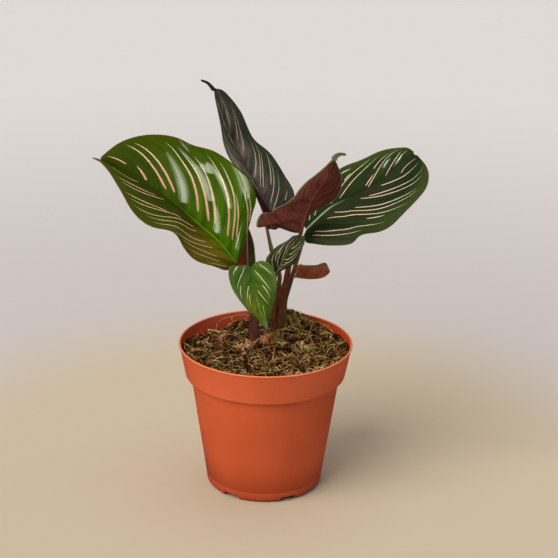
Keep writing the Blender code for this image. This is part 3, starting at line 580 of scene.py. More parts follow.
# Each stalk: its points (across, up, toward), its radius at each, and the blade that it carries
LEFT_STALKS = [
    ([(-16.3, -52, -12), (-16.5, -41.5, -12), (-17, -31.5, -11), (-16.5, -17.5, -10), (-17.5, -7.5, -9)],
     (3.7, 3.6, 3.5, 3.1, 2.4), None),
    ([(-17, -12, -9.5), (-20, -3, -6), (-24.5, 4, -1.5)], (2.2, 1.8, 1.5), "leaf_broad_left"),
    ([(-17.3, -10, -9), (-18.3, 0, -2.5), (-19, 5.5, 5)], (2.2, 1.6, 1.3), "leaf_front_heart"),
    ([(-17, -12, -10), (-18, -7, -12.5)], (2.0, 1.3), "leaf_folded"),
]
RIGHT_STALKS = [
    ([(-0.3, -47, -27), (-0.3, -35, -27), (1.4, -14.5, -23), (4.6, -2.5, -18), (6.8, 9, -12),
      (11, 23, -5)], (3.9, 3.7, 3.0, 2.2, 1.9, 1.7), "leaf_turned"),
    ([(-3.3, -46, -28), (-3.3, -35, -28), (-1.3, -14.5, -27), (0, -3, -26), (0.4, 2.7, -26),
      (-2.5, 11.5, -26), (-5, 20, -27)], (3.2, 3.1, 2.1, 1.7, 1.5, 1.4, 1.4), "leaf_tall_back"),
    ([(2.8, -43, -30), (2.8, -33.5, -30), (3.8, -14.5, -27), (7.6, -2.5, -24), (10.6, 7.5, -21),
      (14.5, 20, -17), (16.5, 27, -14.5)], (3.0, 2.9, 2.2, 1.7, 1.4, 1.3, 1.2), "leaf_right"),
    ([(-3, -40, -25), (-3.5, -31.5, -24), (-4, -14.5, -18), (-3.5, -4, -8)], (2.0, 1.9, 1.5, 1.2),
     "leaf_small_striped"),
    ([(3, -12, -26), (6.3, -4, -27.5), (8.5, 1.5, -28)], (1.8, 1.4, 1.2), "leaf_stub"),
]
# Each kind of stalk skin: its deep and lit red, its green, and how much of it is green
STALK_SKINS = {
    "dark maroon": ((0.05, 0.013, 0.012), (0.17, 0.05, 0.028), (0.09, 0.06, 0.02), 0.0),
    "red brown": ((0.115, 0.027, 0.010), (0.25, 0.08, 0.028), (0.17, 0.12, 0.025), 0.10),
    "olive": ((0.08, 0.045, 0.012), (0.19, 0.085, 0.025), (0.19, 0.17, 0.03), 0.2),
}
# The skin of each stalk, by its blade. The others are red brown
SKIN_OF_STALK = {None: "dark maroon", "leaf_folded": "dark maroon", "leaf_right": "olive",
                 "leaf_tall_back": "olive"}

PEAT = {"wet": (0.004, 0.0015, 0.0006), "damp": (0.10, 0.036, 0.010), "dry": (0.24, 0.10, 0.028)}

# What lies on the soil. Each kind of shred and crumb has a light and a dark colour
SHRED_TINTS = {
    "straw": ((0.98, 0.70, 0.28), (0.46, 0.24, 0.06)),
    "olive": ((0.42, 0.31, 0.035), (0.16, 0.10, 0.012)),
    "russet": ((0.58, 0.23, 0.08), (0.22, 0.070, 0.020)),
    "dark": ((0.06, 0.026, 0.010), (0.016, 0.007, 0.003)),
    "pale": ((0.95, 0.80, 0.54), (0.60, 0.42, 0.22)),
    "green": ((0.24, 0.34, 0.05), (0.12, 0.18, 0.03)),
}
CRUMB_TINTS = {
    "peat": ((0.075, 0.03, 0.010), (0.010, 0.004, 0.002)),
    "russet": ((0.36, 0.13, 0.045), (0.13, 0.04, 0.015)),
    "bark": ((0.50, 0.26, 0.11), (0.20, 0.085, 0.03)),
    "pale": ((0.72, 0.55, 0.33), (0.42, 0.27, 0.13)),
    "green": ((0.22, 0.32, 0.05), (0.10, 0.15, 0.03)),
    "perlite": ((0.85, 0.80, 0.70), (0.60, 0.52, 0.42)),
}
# How many crumbs of each kind, their least and greatest radius, and their height over their width
CRUMBS = {
    "peat": (1000, 0.5, 1.7, 0.7),
    "russet": (170, 0.4, 1.5, 0.6),
    "bark": (90, 0.8, 2.4, 0.4),
    "pale": (90, 0.35, 1.1, 0.5),
    "green": (22, 0.35, 0.8, 0.5),
    "perlite": (24, 0.3, 0.6, 0.8),
}
# Tangles of shreds: where, how wide, how many, and of which kind
TANGLES = [
    ((-14.0, 5.0), 3.0, 12, "pale"), ((-13.0, 6.0), 3.2, 30, "straw"),
    ((-15.0, 5.0), 3.4, 26, "russet"), ((1.0, 11.0), 2.4, 90, "russet"),
    ((-3.5, 13.5), 1.8, 18, "pale"), ((27.0, 3.0), 2.5, 20, "straw"),
    ((18.0, 30.0), 6.0, 60, "olive"), ((33.0, -1.0), 3.5, 7, "green"),
    ((-40.5, -4.6), 0.8, 4, "green"), ((6.0, 9.7), 1.2, 4, "green"),
]
# Single roots and straws: their kind, their points and their radius at both ends
ROOTS = [
    ("straw", [(-41, 37, 95), (-41, 37.5, 96.8), (-38.5, 36.5, 97), (-35, 34.5, 97), (-32.5, 31, 97.2)],
     (0.4, 1.0)),
    ("straw", [(-36, 38, 96), (-34, 45, 100), (-26, 50, 102), (-16, 54, 101), (-9, 54, 97)],
     (0.15, 0.12)),
    ("straw", [(-20, 46, 96), (-25, 50, 101), (-20, 53, 102.5), (-13, 55, 101), (-8, 53, 97)],
     (0.14, 0.1)),
    ("russet", [(-44, 28, 96), (-46, 31, 100), (-41, 38, 102), (-34, 44, 100)], (0.14, 0.12)),
    ("straw", [(30, 38, 97), (37, 40, 101), (44, 35, 102), (48, 27, 98)], (0.16, 0.12)),
]
# Clumps: their name, where they lie, their half sizes and their two colours
CLUMPS = [
    ("bark_clump", (0.0, 10.5), (4.2, 3.3, 2.8), ((0.62, 0.27, 0.11), (0.13, 0.045, 0.018))),
    ("nut_clump", (-29.7, 21.0), (2.9, 2.6, 2.5), ((0.58, 0.25, 0.12), (0.14, 0.05, 0.02))),
]


class Graph:
    """Adds nodes to a material or a node group and links them."""

    def __init__(self, tree):
        self.tree = tree

    def add(self, kind, **settings):
        node = self.tree.nodes.new(kind)
        for name, value in settings.items():
            setattr(node, name, value)
        return node

    def feed(self, socket, value):
        if isinstance(value, bpy.types.NodeSocket):
            self.tree.links.new(value, socket)
        else:
            socket.default_value = value

    def feed_each(self, sockets, **values):
        """Feeds sockets by their names, in which an underscore stands for a space."""
        for name, value in values.items():
            self.feed(sockets[name.replace("_", " ")], value)

    def feed_in_turn(self, node, values):
        """Feeds a node's first sockets, in their order."""
        for socket, value in zip(node.inputs, values):
            self.feed(socket, value)

    def math(self, operation, *values, clamp=False):
        node = self.add("ShaderNodeMath", operation=operation, use_clamp=clamp)
        self.feed_in_turn(node, values)
        return node.outputs[0]

    def times(self, first, second):
        return self.math("MULTIPLY", first, second)

    def minus(self, first, second, clamp=False):
        return self.math("SUBTRACT", first, second, clamp=clamp)

    def apart(self, first, second):
        """How far two values lie apart."""
        return self.math("ABSOLUTE", self.minus(first, second))

    def spread(self, value, low, high, to_low=0.0, to_high=1.0, smooth=True):
        """Maps a value's range low..high to another, and no further."""
        node = self.add("ShaderNodeMapRange", interpolation_type="SMOOTHSTEP" if smooth else "LINEAR")
        self.feed_in_turn(node, (value, low, high, to_low, to_high))
        return node.outputs["Result"]

    def between(self, share, first, second):
        """The value that lies this share of the way from first to second."""
        return self.spread(share, 0.0, 1.0, first, second, smooth=False)

    def paint(self, base, *coats):
        """A colour with coats laid over it, each given as its share and its colour."""
        for share, tint in coats:
            node = self.add("ShaderNodeMix", data_type="RGBA")
            self.feed_each(node.inputs, Factor=share, A=colour(base), B=colour(tint))
            base = node.outputs["Result"]
        return base

    def noise(self, place, scale, detail=3.0, roughness=0.5):
        node = self.add("ShaderNodeTexNoise")
        self.feed_each(node.inputs, Vector=place, Scale=scale, Detail=detail, Roughness=roughness)
        return node.outputs["Fac"]

    def combine(self, x, y, z):
        node = self.add("ShaderNodeCombineXYZ")
        self.feed_in_turn(node, (x, y, z))
        return node.outputs[0]

    def parts(self, vector):
        node = self.add("ShaderNodeSeparateXYZ")
        self.feed(node.inputs[0], vector)
        return node.outputs

    def object_place(self, scale=(1.0, 1.0, 1.0)):
        node = self.add("ShaderNodeMapping")
        coordinates = self.add("ShaderNodeTexCoord").outputs["Object"]
        self.feed_each(node.inputs, Vector=coordinates, Scale=scale)
        return node.outputs[0]

    def bump(self, height, distance, strength=1.0, onto=None):
        node = self.add("ShaderNodeBump")
        self.feed_each(node.inputs, Height=height, Distance=distance, Strength=strength)
        if onto:
            self.feed(node.inputs["Normal"], onto)
        return node.outputs[0]

    def group(self, name, **values):
        node = self.add("ShaderNodeGroup", node_tree=bpy.data.node_groups[name])
        self.feed_each(node.inputs, **values)
        return node.outputs


def colour(value):
    return (*value, 1.0) if isinstance(value, tuple) and len(value) == 3 else value


def new_group(name, inputs, outputs):
    """An empty shader node group: its graph, its inputs, and the node that takes its outputs."""
    tree = bpy.data.node_groups.new(name, "ShaderNodeTree")
    for socket, default in inputs.items():
        made = tree.interface.new_socket(socket, in_out="INPUT", socket_type="NodeSocketFloat")
        made.default_value = default
    for socket in outputs:
        tree.interface.new_socket(socket, in_out="OUTPUT", socket_type="NodeSocketFloat")
    graph = Graph(tree)
    return graph, graph.add("NodeGroupInput").outputs, graph.add("NodeGroupOutput").inputs


def make_groups():
    make_leaf_place_group()
    make_stripe_group()
    make_streaks_group()
    make_mottle_group()


def make_leaf_place_group():
    """Where a point lies on its leaf: start, reach, side, side vein, and distances in millimetres."""
    graph, given, out = new_group("leaf place", {"left sweep": 0.25, "right sweep": 0.25},
                                  ["start", "reach", "left", "vein", "from rib", "from margin"])
    place = graph.parts(graph.add("ShaderNodeAttribute", attribute_name="leaf place").outputs["Vector"])
    from_margin = graph.add("ShaderNodeAttribute", attribute_name="from margin").outputs["Fac"]
    wobble = graph.minus(graph.noise(graph.object_place(), 700.0, 2.0), 0.5)
    start = graph.math("MULTIPLY_ADD", wobble, 0.008, place[0])
    reach = graph.math("ABSOLUTE", place[1])
    left = graph.math("LESS_THAN", place[1], 0.0)
    sweep = graph.between(left, given["right sweep"], given["left sweep"])
    vein = graph.minus(place[0], graph.times(sweep, reach))
    graph.feed_each(out, start=start, reach=reach, left=left, vein=vein,
                    from_rib=graph.math("ABSOLUTE", place[2]), from_margin=from_margin)


def make_stripe_group():
    """One pale stripe: blunt and widest near its inner end, and thin at its outer end.

    It runs from one place on the leaf in a given direction. Places here are shares of the midrib's
    length, with the way to the margin counted as REACH_SCALE of it.
    """
    names = {"start": 0.0, "reach": 0.0, "from start": 0.0, "from reach": 0.0, "along start": 0.0,
             "along reach": 1.0, "length": 0.3, "bow": 0.0, "width": 0.01, "softness": 0.4}
    graph, given, out = new_group("leaf stripe", names, ["mask", "inner share"])
    up = graph.minus(given["start"], given["from start"])
    over = graph.minus(given["reach"], given["from reach"])
    on_start = graph.times(up, given["along start"])
    on_reach = graph.times(over, given["along reach"])
    gone = graph.math("ADD", on_start, on_reach)
    aside = graph.minus(graph.times(up, given["along reach"]), graph.times(over, given["along start"]))
    span = graph.math("DIVIDE", gone, given["length"])
    rest = graph.minus(1.0, span, clamp=True)
    arch = graph.times(graph.times(span, rest), 4.0)
    away = graph.apart(aside, graph.times(arch, given["bow"]))
    blunt_end = graph.math("POWER", graph.math("MAXIMUM", span, 0.0), STRIPE_BLUNTNESS)
    body = graph.times(blunt_end, graph.math("SQRT", rest))
    half = graph.times(graph.times(body, STRIPE_FULLNESS), given["width"])
    inside = graph.minus(half, away)
    soft = graph.times(given["width"], given["softness"])
    mask = graph.math("DIVIDE", inside, soft, clamp=True)
    graph.feed_each(out, mask=mask, inner_share=graph.times(mask, rest))


def make_streaks_group():
    """Long uneven streaks and fine parallel lines that follow the side veins."""
    graph, given, out = new_group("leaf streaks", {"vein": 0.0, "reach": 0.0, "veins": 20.0},
                                  ["tone", "lines", "ridge"])
    count = graph.times(given["vein"], given["veins"])
    slow = graph.times(given["reach"], 1.6)
    tone = graph.noise(graph.combine(count, slow, 0.0), 0.75, 3.0, 0.55)
    fine = graph.noise(graph.combine(graph.times(count, 4.0), slow, 3.0), 1.0, 2.0, 0.6)
    wave = graph.math("SINE", graph.times(count, 2.0 * TURN))
    ridge = graph.math("MULTIPLY_ADD", wave, 0.25, graph.times(fine, 0.6))
    graph.feed_each(out, tone=graph.spread(tone, 0.35, 0.68), lines=graph.spread(fine, 0.52, 0.66),
                    ridge=ridge)


def make_mottle_group():
    """Soft uneven patches over fine grain, for plastic and stalks."""
    graph, given, out = new_group("mottle", {"patch": 30.0, "grain": 1500.0}, ["patches", "grain"])
    place = graph.object_place()
    patches = graph.spread(graph.noise(place, given["patch"], 2.0), 0.3, 0.7)
    graph.feed_each(out, patches=patches, grain=graph.noise(place, given["grain"], 2.0))


def new_material(name):
    """A material with only its shader: the material, its graph and the shader's inputs."""
    made = bpy.data.materials.new(name)
    made.use_nodes = True
    graph = Graph(made.node_tree)
    return made, graph, made.node_tree.nodes["Principled BSDF"].inputs


def finish_shader(graph, shader, skin, roughness, specular, normal):
    """Feeds a shader its colour, its roughness, how much it reflects and its relief."""
    graph.feed(shader["Base Color"], skin)
    graph.feed(shader["Roughness"], roughness)
    shader["Specular IOR Level"].default_value = specular
    graph.feed(shader["Normal"], normal)


def leaf_stripes(graph, place, stripes, softness=0.4):
    """All stripes of one half of a leaf, as one mask and one inner share."""
    mask = inner_share = 0.0
    reach = graph.times(place["reach"], REACH_SCALE)
    for inner_start, inner_reach, outer_start, outer_reach, bow, width in stripes:
        run = Vector((outer_start - inner_start, (outer_reach - inner_reach) * REACH_SCALE))
        along = run.normalized()
        stripe = graph.group("leaf stripe", start=place["start"], reach=reach, from_start=inner_start,
                             from_reach=inner_reach * REACH_SCALE, along_start=along.x,
                             along_reach=along.y, length=run.length, bow=bow, width=width,
                             softness=softness)
        mask = graph.math("MAXIMUM", mask, stripe["mask"])
        inner_share = graph.math("MAXIMUM", inner_share, stripe["inner share"])
    return mask, inner_share


def leaf_groups(graph, blade):
    """Where a point lies on its leaf, and the streaks that follow its side veins."""
    place = graph.group("leaf place", left_sweep=blade.sweep[0], right_sweep=blade.sweep[1])
    streaks = graph.group("leaf streaks", vein=place["vein"], reach=place["reach"],
                          veins=float(blade.veins))
    return place, streaks


def leaf_ground(graph, place, streaks, leaf):
    """The upper face's greens and browns, under its markings."""
    start, reach = place["start"], place["reach"]
    on_left = graph.times(place["left"], graph.spread(place["from rib"], 0.0, 3.0, 0.3, 1.0))
    to_left_tip = graph.spread(start, 0.12, 0.5)
    near_margin = graph.spread(reach, 0.5, 1.0, 0.0, 0.75)
    # how strongly the painted sheen lies next to the midrib
    painted_sheen_reach = graph.spread(reach, 0.1, 0.6, leaf.sheen_share, 0.0)
    lines = graph.times(streaks["lines"], graph.spread(reach, 0.15, 0.5))
    strength = graph.between(place["left"], leaf.right_lines, leaf.left_lines)
    return graph.paint(
        leaf.upper,
        (graph.spread(start, 0.1, 0.85), leaf.tip),
        (on_left, graph.paint(leaf.left, (to_left_tip, leaf.left_tip or leaf.left))),
        (graph.times(streaks["tone"], 0.8), leaf.dark),
        (graph.times(near_margin, graph.spread(start, 0.1, 0.5, 0.2, 1.0)), leaf.outer),
        # painted sheen next to the midrib
        (graph.times(streaks["tone"], painted_sheen_reach), leaf.sheen),
        (graph.times(lines, strength), leaf.line_colour))


def add_rib_and_margin(graph, place, green, leaf):
    """Lays the midrib, the coloured margin and the drip tip over an upper face."""
    start = place["start"]
    rib_width = graph.spread(start, 0.0, 0.9, 1.0, 0.4, smooth=False)
    on_rib = graph.minus(1.0, graph.math("DIVIDE", place["from rib"], rib_width), clamp=True)
    return graph.paint(
        green,
        (graph.spread(on_rib, 0.05, 0.5),
         graph.paint(leaf.rib, (graph.spread(start, *leaf.rib_fade), leaf.rib_tip))),
        (graph.spread(place["from margin"], 0.25, 0.75, 0.85, 0.0), leaf.margin),
        (graph.spread(start, leaf.drip_from, 0.99), leaf.drip))


def leaf_gloss(graph, place, leaf):
    """Where a leaf shines: long patches between the side veins, worn in fine lines."""
    patches, _ = leaf_stripes(graph, place, leaf.gloss_patches, softness=0.75)
    across_veins = graph.times(place["vein"], 60.0)
    worn = graph.noise(graph.combine(across_veins, place["reach"], 5.0), 3.0, 5.0, 0.7)
    return graph.times(patches, graph.spread(worn, 0.34, 0.54, 0.15, 1.0))


def upper_face_material(name, blade, leaf):
    """The striped and glossy upper side of one leaf."""
    made, graph, shader = new_material(f"{name} upper face")
    place, streaks = leaf_groups(graph, blade)
    green = leaf_ground(graph, place, streaks, leaf)
    on_left = place["left"]
    on_right = graph.minus(1.0, on_left)
    for on_side, stripes, width in ((on_left, leaf.left_stripes, leaf.left_width),
                                    (on_right, leaf.right_stripes, leaf.right_width)):
        if stripes:
            mask, inner = leaf_stripes(graph, place, [(*stripe, width) for stripe in stripes])
            pale = graph.paint(leaf.stripe_outer, (graph.spread(inner, 0.15, 0.75), leaf.stripe_inner))
            green = graph.paint(green, (graph.times(mask, on_side), pale))
    green = add_rib_and_margin(graph, place, green, leaf)
    if leaf.gloss_patches:
        glossy_side = on_left if leaf.gloss_on_left else on_right
        graph.feed(shader["Coat Weight"], graph.times(leaf_gloss(graph, place, leaf), glossy_side))
        shader["Coat Roughness"].default_value = 0.1
    cells = graph.noise(graph.object_place(), 2600.0, 2.0, 0.6)
    relief = graph.bump(streaks["ridge"], 0.0002, 0.7, onto=graph.bump(cells, 0.00006, 0.35))
    finish_shader(graph, shader, green, graph.between(streaks["tone"], 0.34, 0.5), leaf.specular, relief)
    return made


def underside_material(name, blade, leaf):
    """The maroon underside of one leaf, duller than the upper face, with its side veins."""
    made, graph, shader = new_material(f"{name} underside")
    place, streaks = leaf_groups(graph, blade)
    bloom = graph.noise(graph.object_place(), 60.0, 4.0)
    rim = graph.between(place["left"], leaf.rim, RIM_ON_LEFT)
    from_margin = graph.math("DIVIDE", place["from margin"], rim)
    maroon = graph.paint(
        leaf.under,
        # dark bands along the side veins: partly the underside's own darker bands, partly painted shade
        # of its folds
        (graph.times(streaks["tone"], 0.75), leaf.under_dark),
        (graph.spread(bloom, 0.4, 0.75, 0.0, 0.5), leaf.under_dark),
        (graph.times(streaks["lines"], 0.12), leaf.under),
        (graph.spread(from_margin, 0.6, 1.0, 0.9, 0.0), leaf.margin),
        (graph.spread(place["start"], 0.97, 0.99), leaf.drip))
    roughness = graph.spread(bloom, 0.3, 0.7, 0.42, 0.56)
    finish_shader(graph, shader, maroon, roughness, 0.05, graph.bump(streaks["ridge"], 0.0002, 0.9))
    return made


def margin_material(name, leaf):
    """The thin edge of one leaf."""
    made, graph, shader = new_material(f"{name} margin")
    mottle = graph.group("mottle", patch=120.0, grain=2500.0)
    rim = graph.paint(leaf.margin, (graph.times(mottle["patches"], 0.5), leaf.under))
    graph.feed(shader["Base Color"], rim)
    graph.feed(shader["Roughness"], graph.spread(mottle["grain"], 0.3, 0.7, 0.35, 0.5))
    return made


def stalk_material(kind):
    """A ribbed stalk: deep maroon with long streaks of a lighter red and of olive green."""
    deep, lit, green, green_share = STALK_SKINS[kind]
    made, graph, shader = new_material(f"{kind} stalk")
    long_place = graph.object_place((1.0, 1.0, 0.07))
    streak = graph.noise(long_place, 900.0, 3.0, 0.6)
    band = graph.noise(long_place, 260.0, 2.0)
    mottle = graph.group("mottle", patch=90.0, grain=3000.0)
    skin = graph.paint(
        deep,
        (graph.spread(streak, 0.35, 0.7), lit),
        (graph.spread(band, 0.62 - green_share, 0.9 - green_share), green),
        (graph.times(mottle["patches"], 0.35), deep))
    roughness = graph.spread(mottle["grain"], 0.3, 0.7, 0.3, 0.46)
    finish_shader(graph, shader, skin, roughness, 0.18, graph.bump(streak, 0.0002, 0.7))
    return made


def terracotta_material():
    """Moulded matte plastic, a little uneven in colour, with dust near the foot.

    The collar is painted lighter as painted light; the inner wall, the body towards the foot and a
    band under the collar are painted darker as painted shade; the rim has a painted highlight.
    """
    made, graph, shader = new_material("terracotta plastic skin")
    mottle = graph.group("mottle", patch=22.0, grain=2200.0)
    flow = graph.noise(graph.object_place((1.0, 1.0, 0.1)), 60.0, 4.0, 0.6)
    x, y, height = graph.parts(graph.object_place())
    from_axis = graph.math("SQRT", graph.math("MULTIPLY_ADD", x, x, graph.times(y, y)))
    on_collar = graph.spread(height, (COLLAR_BASE + 0.3) * MM, (COLLAR_BASE + 1.3) * MM)
    middle_of_wall = graph.spread(height, COLLAR_BASE * MM, POT_HEIGHT * MM,
                                  (COLLAR_FOOT_RADIUS - WALL_MIDDLE) * MM,
                                  (RIM_RADIUS - WALL_MIDDLE) * MM, smooth=False)
    inside = graph.spread(graph.minus(from_axis, middle_of_wall), -0.0003, 0.0003, 1.0, 0.0)
    near_foot = graph.spread(height, 0.0, 0.006, 0.5, 0.0)
    # painted shade: how far a point lies from the dark band under the collar
    from_shade_under_collar = graph.apart(height, (COLLAR_BASE - 0.5) * MM)
    from_seam = graph.apart(height, SEAM_HEIGHT * MM)
    # painted highlight: how strongly the top of the rim is painted lighter
    rim_highlight = graph.spread(height, (POT_HEIGHT - 0.8) * MM, (POT_HEIGHT - 0.2) * MM, 0.0, 0.6)
    plastic = graph.paint(
        PLASTIC["deep"],
        (mottle["patches"], PLASTIC["lit"]),
        (graph.spread(flow, 0.45, 0.75, 0.0, 0.25), PLASTIC["flow lines"]),
        # painted light: the collar painted lighter than the body
        (graph.times(on_collar, 0.3), PLASTIC["collar"]),
        # painted shade: the collar's inner wall painted darker
        (graph.times(inside, on_collar), PLASTIC["inner wall shade"]),
        # painted shade: the body painted darker towards the foot
        (graph.spread(height, 0.002, 0.030, 0.75, 0.0), PLASTIC["foot"]),
        (graph.times(near_foot, mottle["patches"]), PLASTIC["dust"]),
        # painted shade: a dark band just under the collar's step
        (graph.spread(from_shade_under_collar, 0.0, 0.0013, 0.95, 0.0), PLASTIC["shade_under_collar"]),
        (graph.spread(from_seam, 0.0, 0.0005, 0.22, 0.0), PLASTIC["seam"]),
        # painted highlight along the top of the rim
        (rim_highlight, PLASTIC["rim"]))
    roughness = graph.between(mottle["patches"], 0.42, 0.52)
    finish_shader(graph, shader, plastic, roughness, 0.1, graph.bump(mottle["grain"], 0.00005, 0.4))
    return made


def peat_material():
    """Dark peat with lighter shreds in it."""
    made, graph, shader = new_material("moist peat")
    place = graph.object_place()
    coarse = graph.noise(place, 240.0, 5.0, 0.65)
    fine = graph.noise(place, 1100.0, 4.0, 0.7)
    peat = graph.paint(PEAT["wet"], (graph.spread(coarse, 0.48, 0.62), PEAT["damp"]),
                       (graph.spread(fine, 0.52, 0.68), PEAT["dry"]))
    roughness = graph.spread(fine, 0.3, 0.7, 0.8, 1.0)
    finish_shader(graph, shader, peat, roughness, 0.0, graph.bump(fine, 0.0008, 0.9))
    return made


def shred_material(name, light, dark):
    """Fibres, bark and other bits in the soil: uneven in tone from bit to bit and along each."""
    made, graph, shader = new_material(name)
    place = graph.object_place()
    tone = graph.noise(place, 130.0, 3.0, 0.6)
    grain = graph.noise(place, 1600.0, 3.0, 0.6)
    skin = graph.paint(light, (graph.spread(tone, 0.35, 0.65), dark),
                       (graph.spread(grain, 0.5, 0.75, 0.0, 0.5), dark))
    roughness = graph.spread(grain, 0.3, 0.7, 0.7, 0.95)
    finish_shader(graph, shader, skin, roughness, 0.02, graph.bump(grain, 0.0003, 0.6))
    return made


def deselect_all():
    bpy.ops.object.select_all(action="DESELECT")


def only(piece):
    """Selects one piece alone and makes it the active one."""
    deselect_all()
    piece.select_set(True)
    bpy.context.view_layer.objects.active = piece


def apply_modifiers(piece):
    only(piece)
    for modifier in list(piece.modifiers):
        bpy.ops.object.modifier_apply(modifier=modifier.name)


def add_object(name, data):
    """Adds an object with this data to the scene."""
    made = bpy.data.objects.new(name, data)
    bpy.context.scene.collection.objects.link(made)
    return made


def weld(piece, distance, turn_outward=False):
    """Merges corners closer than this, in millimetres, and turns the faces outward if asked."""
    only(piece)
    bpy.ops.object.mode_set(mode="EDIT")
    bpy.ops.mesh.select_all(action="SELECT")
    bpy.ops.mesh.remove_doubles(threshold=distance * MM)
    if turn_outward:
        bpy.ops.mesh.normals_make_consistent(inside=False)
    bpy.ops.object.mode_set(mode="OBJECT")


def round_curve(name, resolution):
    """An empty curve for round lines, whose points hold their radius in millimetres."""
    curve = bpy.data.curves.new(name, "CURVE")
    curve.dimensions = "3D"
    curve.bevel_depth = MM
    curve.bevel_resolution = resolution
    return curve


def add_line(curve, places, radii, material_index=0):
    """Adds one line to a curve: its places and its radius at each, in millimetres."""
    spline = curve.splines.new("POLY")
    spline.points.add(len(places) - 1)
    spline.material_index = material_index
    for point, place, radius in zip(spline.points, places, radii):
        point.co = (*(place * MM), 1.0)
        point.radius = radius


def curve_to_mesh(name, curve):
    only(add_object(name, curve))
    bpy.ops.object.convert(target="MESH")
    return bpy.context.object


def finish_piece(piece, slot, *replaced, smooth_angle=None):
    """Shades a piece, and says what it rides on and the nodes it stands for. slot, its material slot, is
    not used.
    """
    only(piece)
    if smooth_angle is None:
        bpy.ops.object.shade_smooth()
    else:
        bpy.ops.object.shade_smooth_by_angle(angle=math.radians(smooth_angle))
    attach(piece, "root")
    if replaced:
        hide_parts(*replaced)


def fine_blade(name, blade):
    """A thin leaf blade: a fine grid laid on the leaf's surface, then given its thickness."""
    drip_rows = DRIP_ROWS * len(blade.drip)
    rows = blade.rows + drip_rows
    deselect_all()
    bpy.ops.mesh.primitive_grid_add(x_subdivisions=2 * blade.columns, y_subdivisions=rows, size=2.0)
    piece = bpy.context.object
    piece.name = f"{name}_blade"
    mesh = piece.data
    mesh.attributes.new("leaf place", "FLOAT_VECTOR", "POINT")
    mesh.attributes.new("from margin", "FLOAT", "POINT")
    on_leaf = mesh.attributes["leaf place"]
    from_margin = mesh.attributes["from margin"]
    for index, corner in enumerate(mesh.vertices):
        across = math.copysign(abs(corner.co.x) ** COLUMN_POWER, corner.co.x)
        row = round((corner.co.y + 1.0) / 2.0 * rows)
        start = BLADE_START + (BLADE_END - BLADE_START) * min(row / blade.rows, 1.0)
        if row <= blade.rows:
            place, rib_distance, margin_distance = blade.surface(start, across)
            reach = blade.even_reach(start, across)
        else:
            place = blade.drip_point((row - blade.rows) / drip_rows, across)
            rib_distance = abs(across) * blade.drip_width
            margin_distance = blade.drip_width - rib_distance
            reach = across
        corner.co = place * MM
        on_leaf.data[index].vector = (start, reach, rib_distance)
        from_margin.data[index].value = margin_distance
    leaf = LOOKS[name]
    mesh.materials.append(upper_face_material(name, blade, leaf))
    mesh.materials.append(underside_material(name, blade, leaf))
    mesh.materials.append(margin_material(name, leaf))
    shell = piece.modifiers.new("Thickness", "SOLIDIFY")
    shell.thickness = LEAF_THICKNESS * MM
    shell.offset = -1.0
    shell.material_offset = 1
    shell.material_offset_rim = 2
    apply_modifiers(piece)
    return piece


def stalk_route(points, radii, blade_name):
    """A stalk's way in place, on under the blade as the raised midrib of its underside."""
    route = [seen(*point) for point in points]
    widths = list(radii)
    if blade_name:
        blade = BLADES[blade_name]
        for step in range(RIDGE_STEPS):
            along = RIDGE_START + (RIDGE_END - RIDGE_START) * step / (RIDGE_STEPS - 1)
            radius = radii[-1] * (RIDGE_THIN + RIDGE_THICK * (1.0 - along) ** 3)
            fullness = math.sqrt(4.0 * along * (1.0 - along))
            route.append(blade.underside(along, GROOVE_DEPTH * fullness + RIDGE_COVER + radius))
            widths.append(radius)
    return route, widths


def make_stalk(name, points, radii, blade_name, skin):
    """One smooth round stalk with a swelling under its blade, made as a curve and turned to a mesh."""
    route, widths = stalk_route(points, radii, blade_name)
    line = Line(route)
    knots = [line.lengths[index * Line.SPAN_STEPS] / line.length for index in range(len(route))]
    count = max(STALK_LEAST_STEPS, round(line.length / STALK_STEP))
    shares = [index / count for index in range(count + 1)]
    thickness = []
    for share in shares:
        span = max(bisect_left(knots, share) - 1, 0)
        mix = (share - knots[span]) / (knots[span + 1] - knots[span])
        thickness.append(widths[span] + (widths[span + 1] - widths[span]) * mix)
    if blade_name:
        blade_foot = knots[len(points) - 1]
        for index, share in enumerate(shares):
            away = (share - blade_foot) * line.length / SWELLING_LENGTH
            thickness[index] *= 1.0 + SWELLING * math.exp(-(away**2))
    curve = round_curve(name, 5)
    curve.use_fill_caps = True
    add_line(curve, [line.at(share) for share in shares], thickness)
    piece = curve_to_mesh(name, curve)
    weld(piece, 0.01)
    piece.data.materials.clear()
    piece.data.materials.append(skin)
    return piece


def make_shoots():
    skins = {kind: stalk_material(kind) for kind in STALK_SKINS}
    for shoot, stalks in (("left_shoot", LEFT_STALKS), ("right_shoot", RIGHT_STALKS)):
        for points, radii, blade_name in stalks:
            name = f"{blade_name}_stalk" if blade_name else "left_sheath_stem"
            skin = skins[SKIN_OF_STALK.get(blade_name, "red brown")]
            piece = make_stalk(name, points, radii, blade_name, skin)
            finish_piece(piece, "maroon_stalk", shoot)


def arc(centre, radius, start_deg, end_deg, steps):
    """Points of a round corner, as (radius, height)."""
    points = []
    for step in range(steps + 1):
        angle = math.radians(start_deg + (end_deg - start_deg) * step / steps)
        points.append((centre[0] + radius * math.cos(angle), centre[1] + radius * math.sin(angle)))
    return points


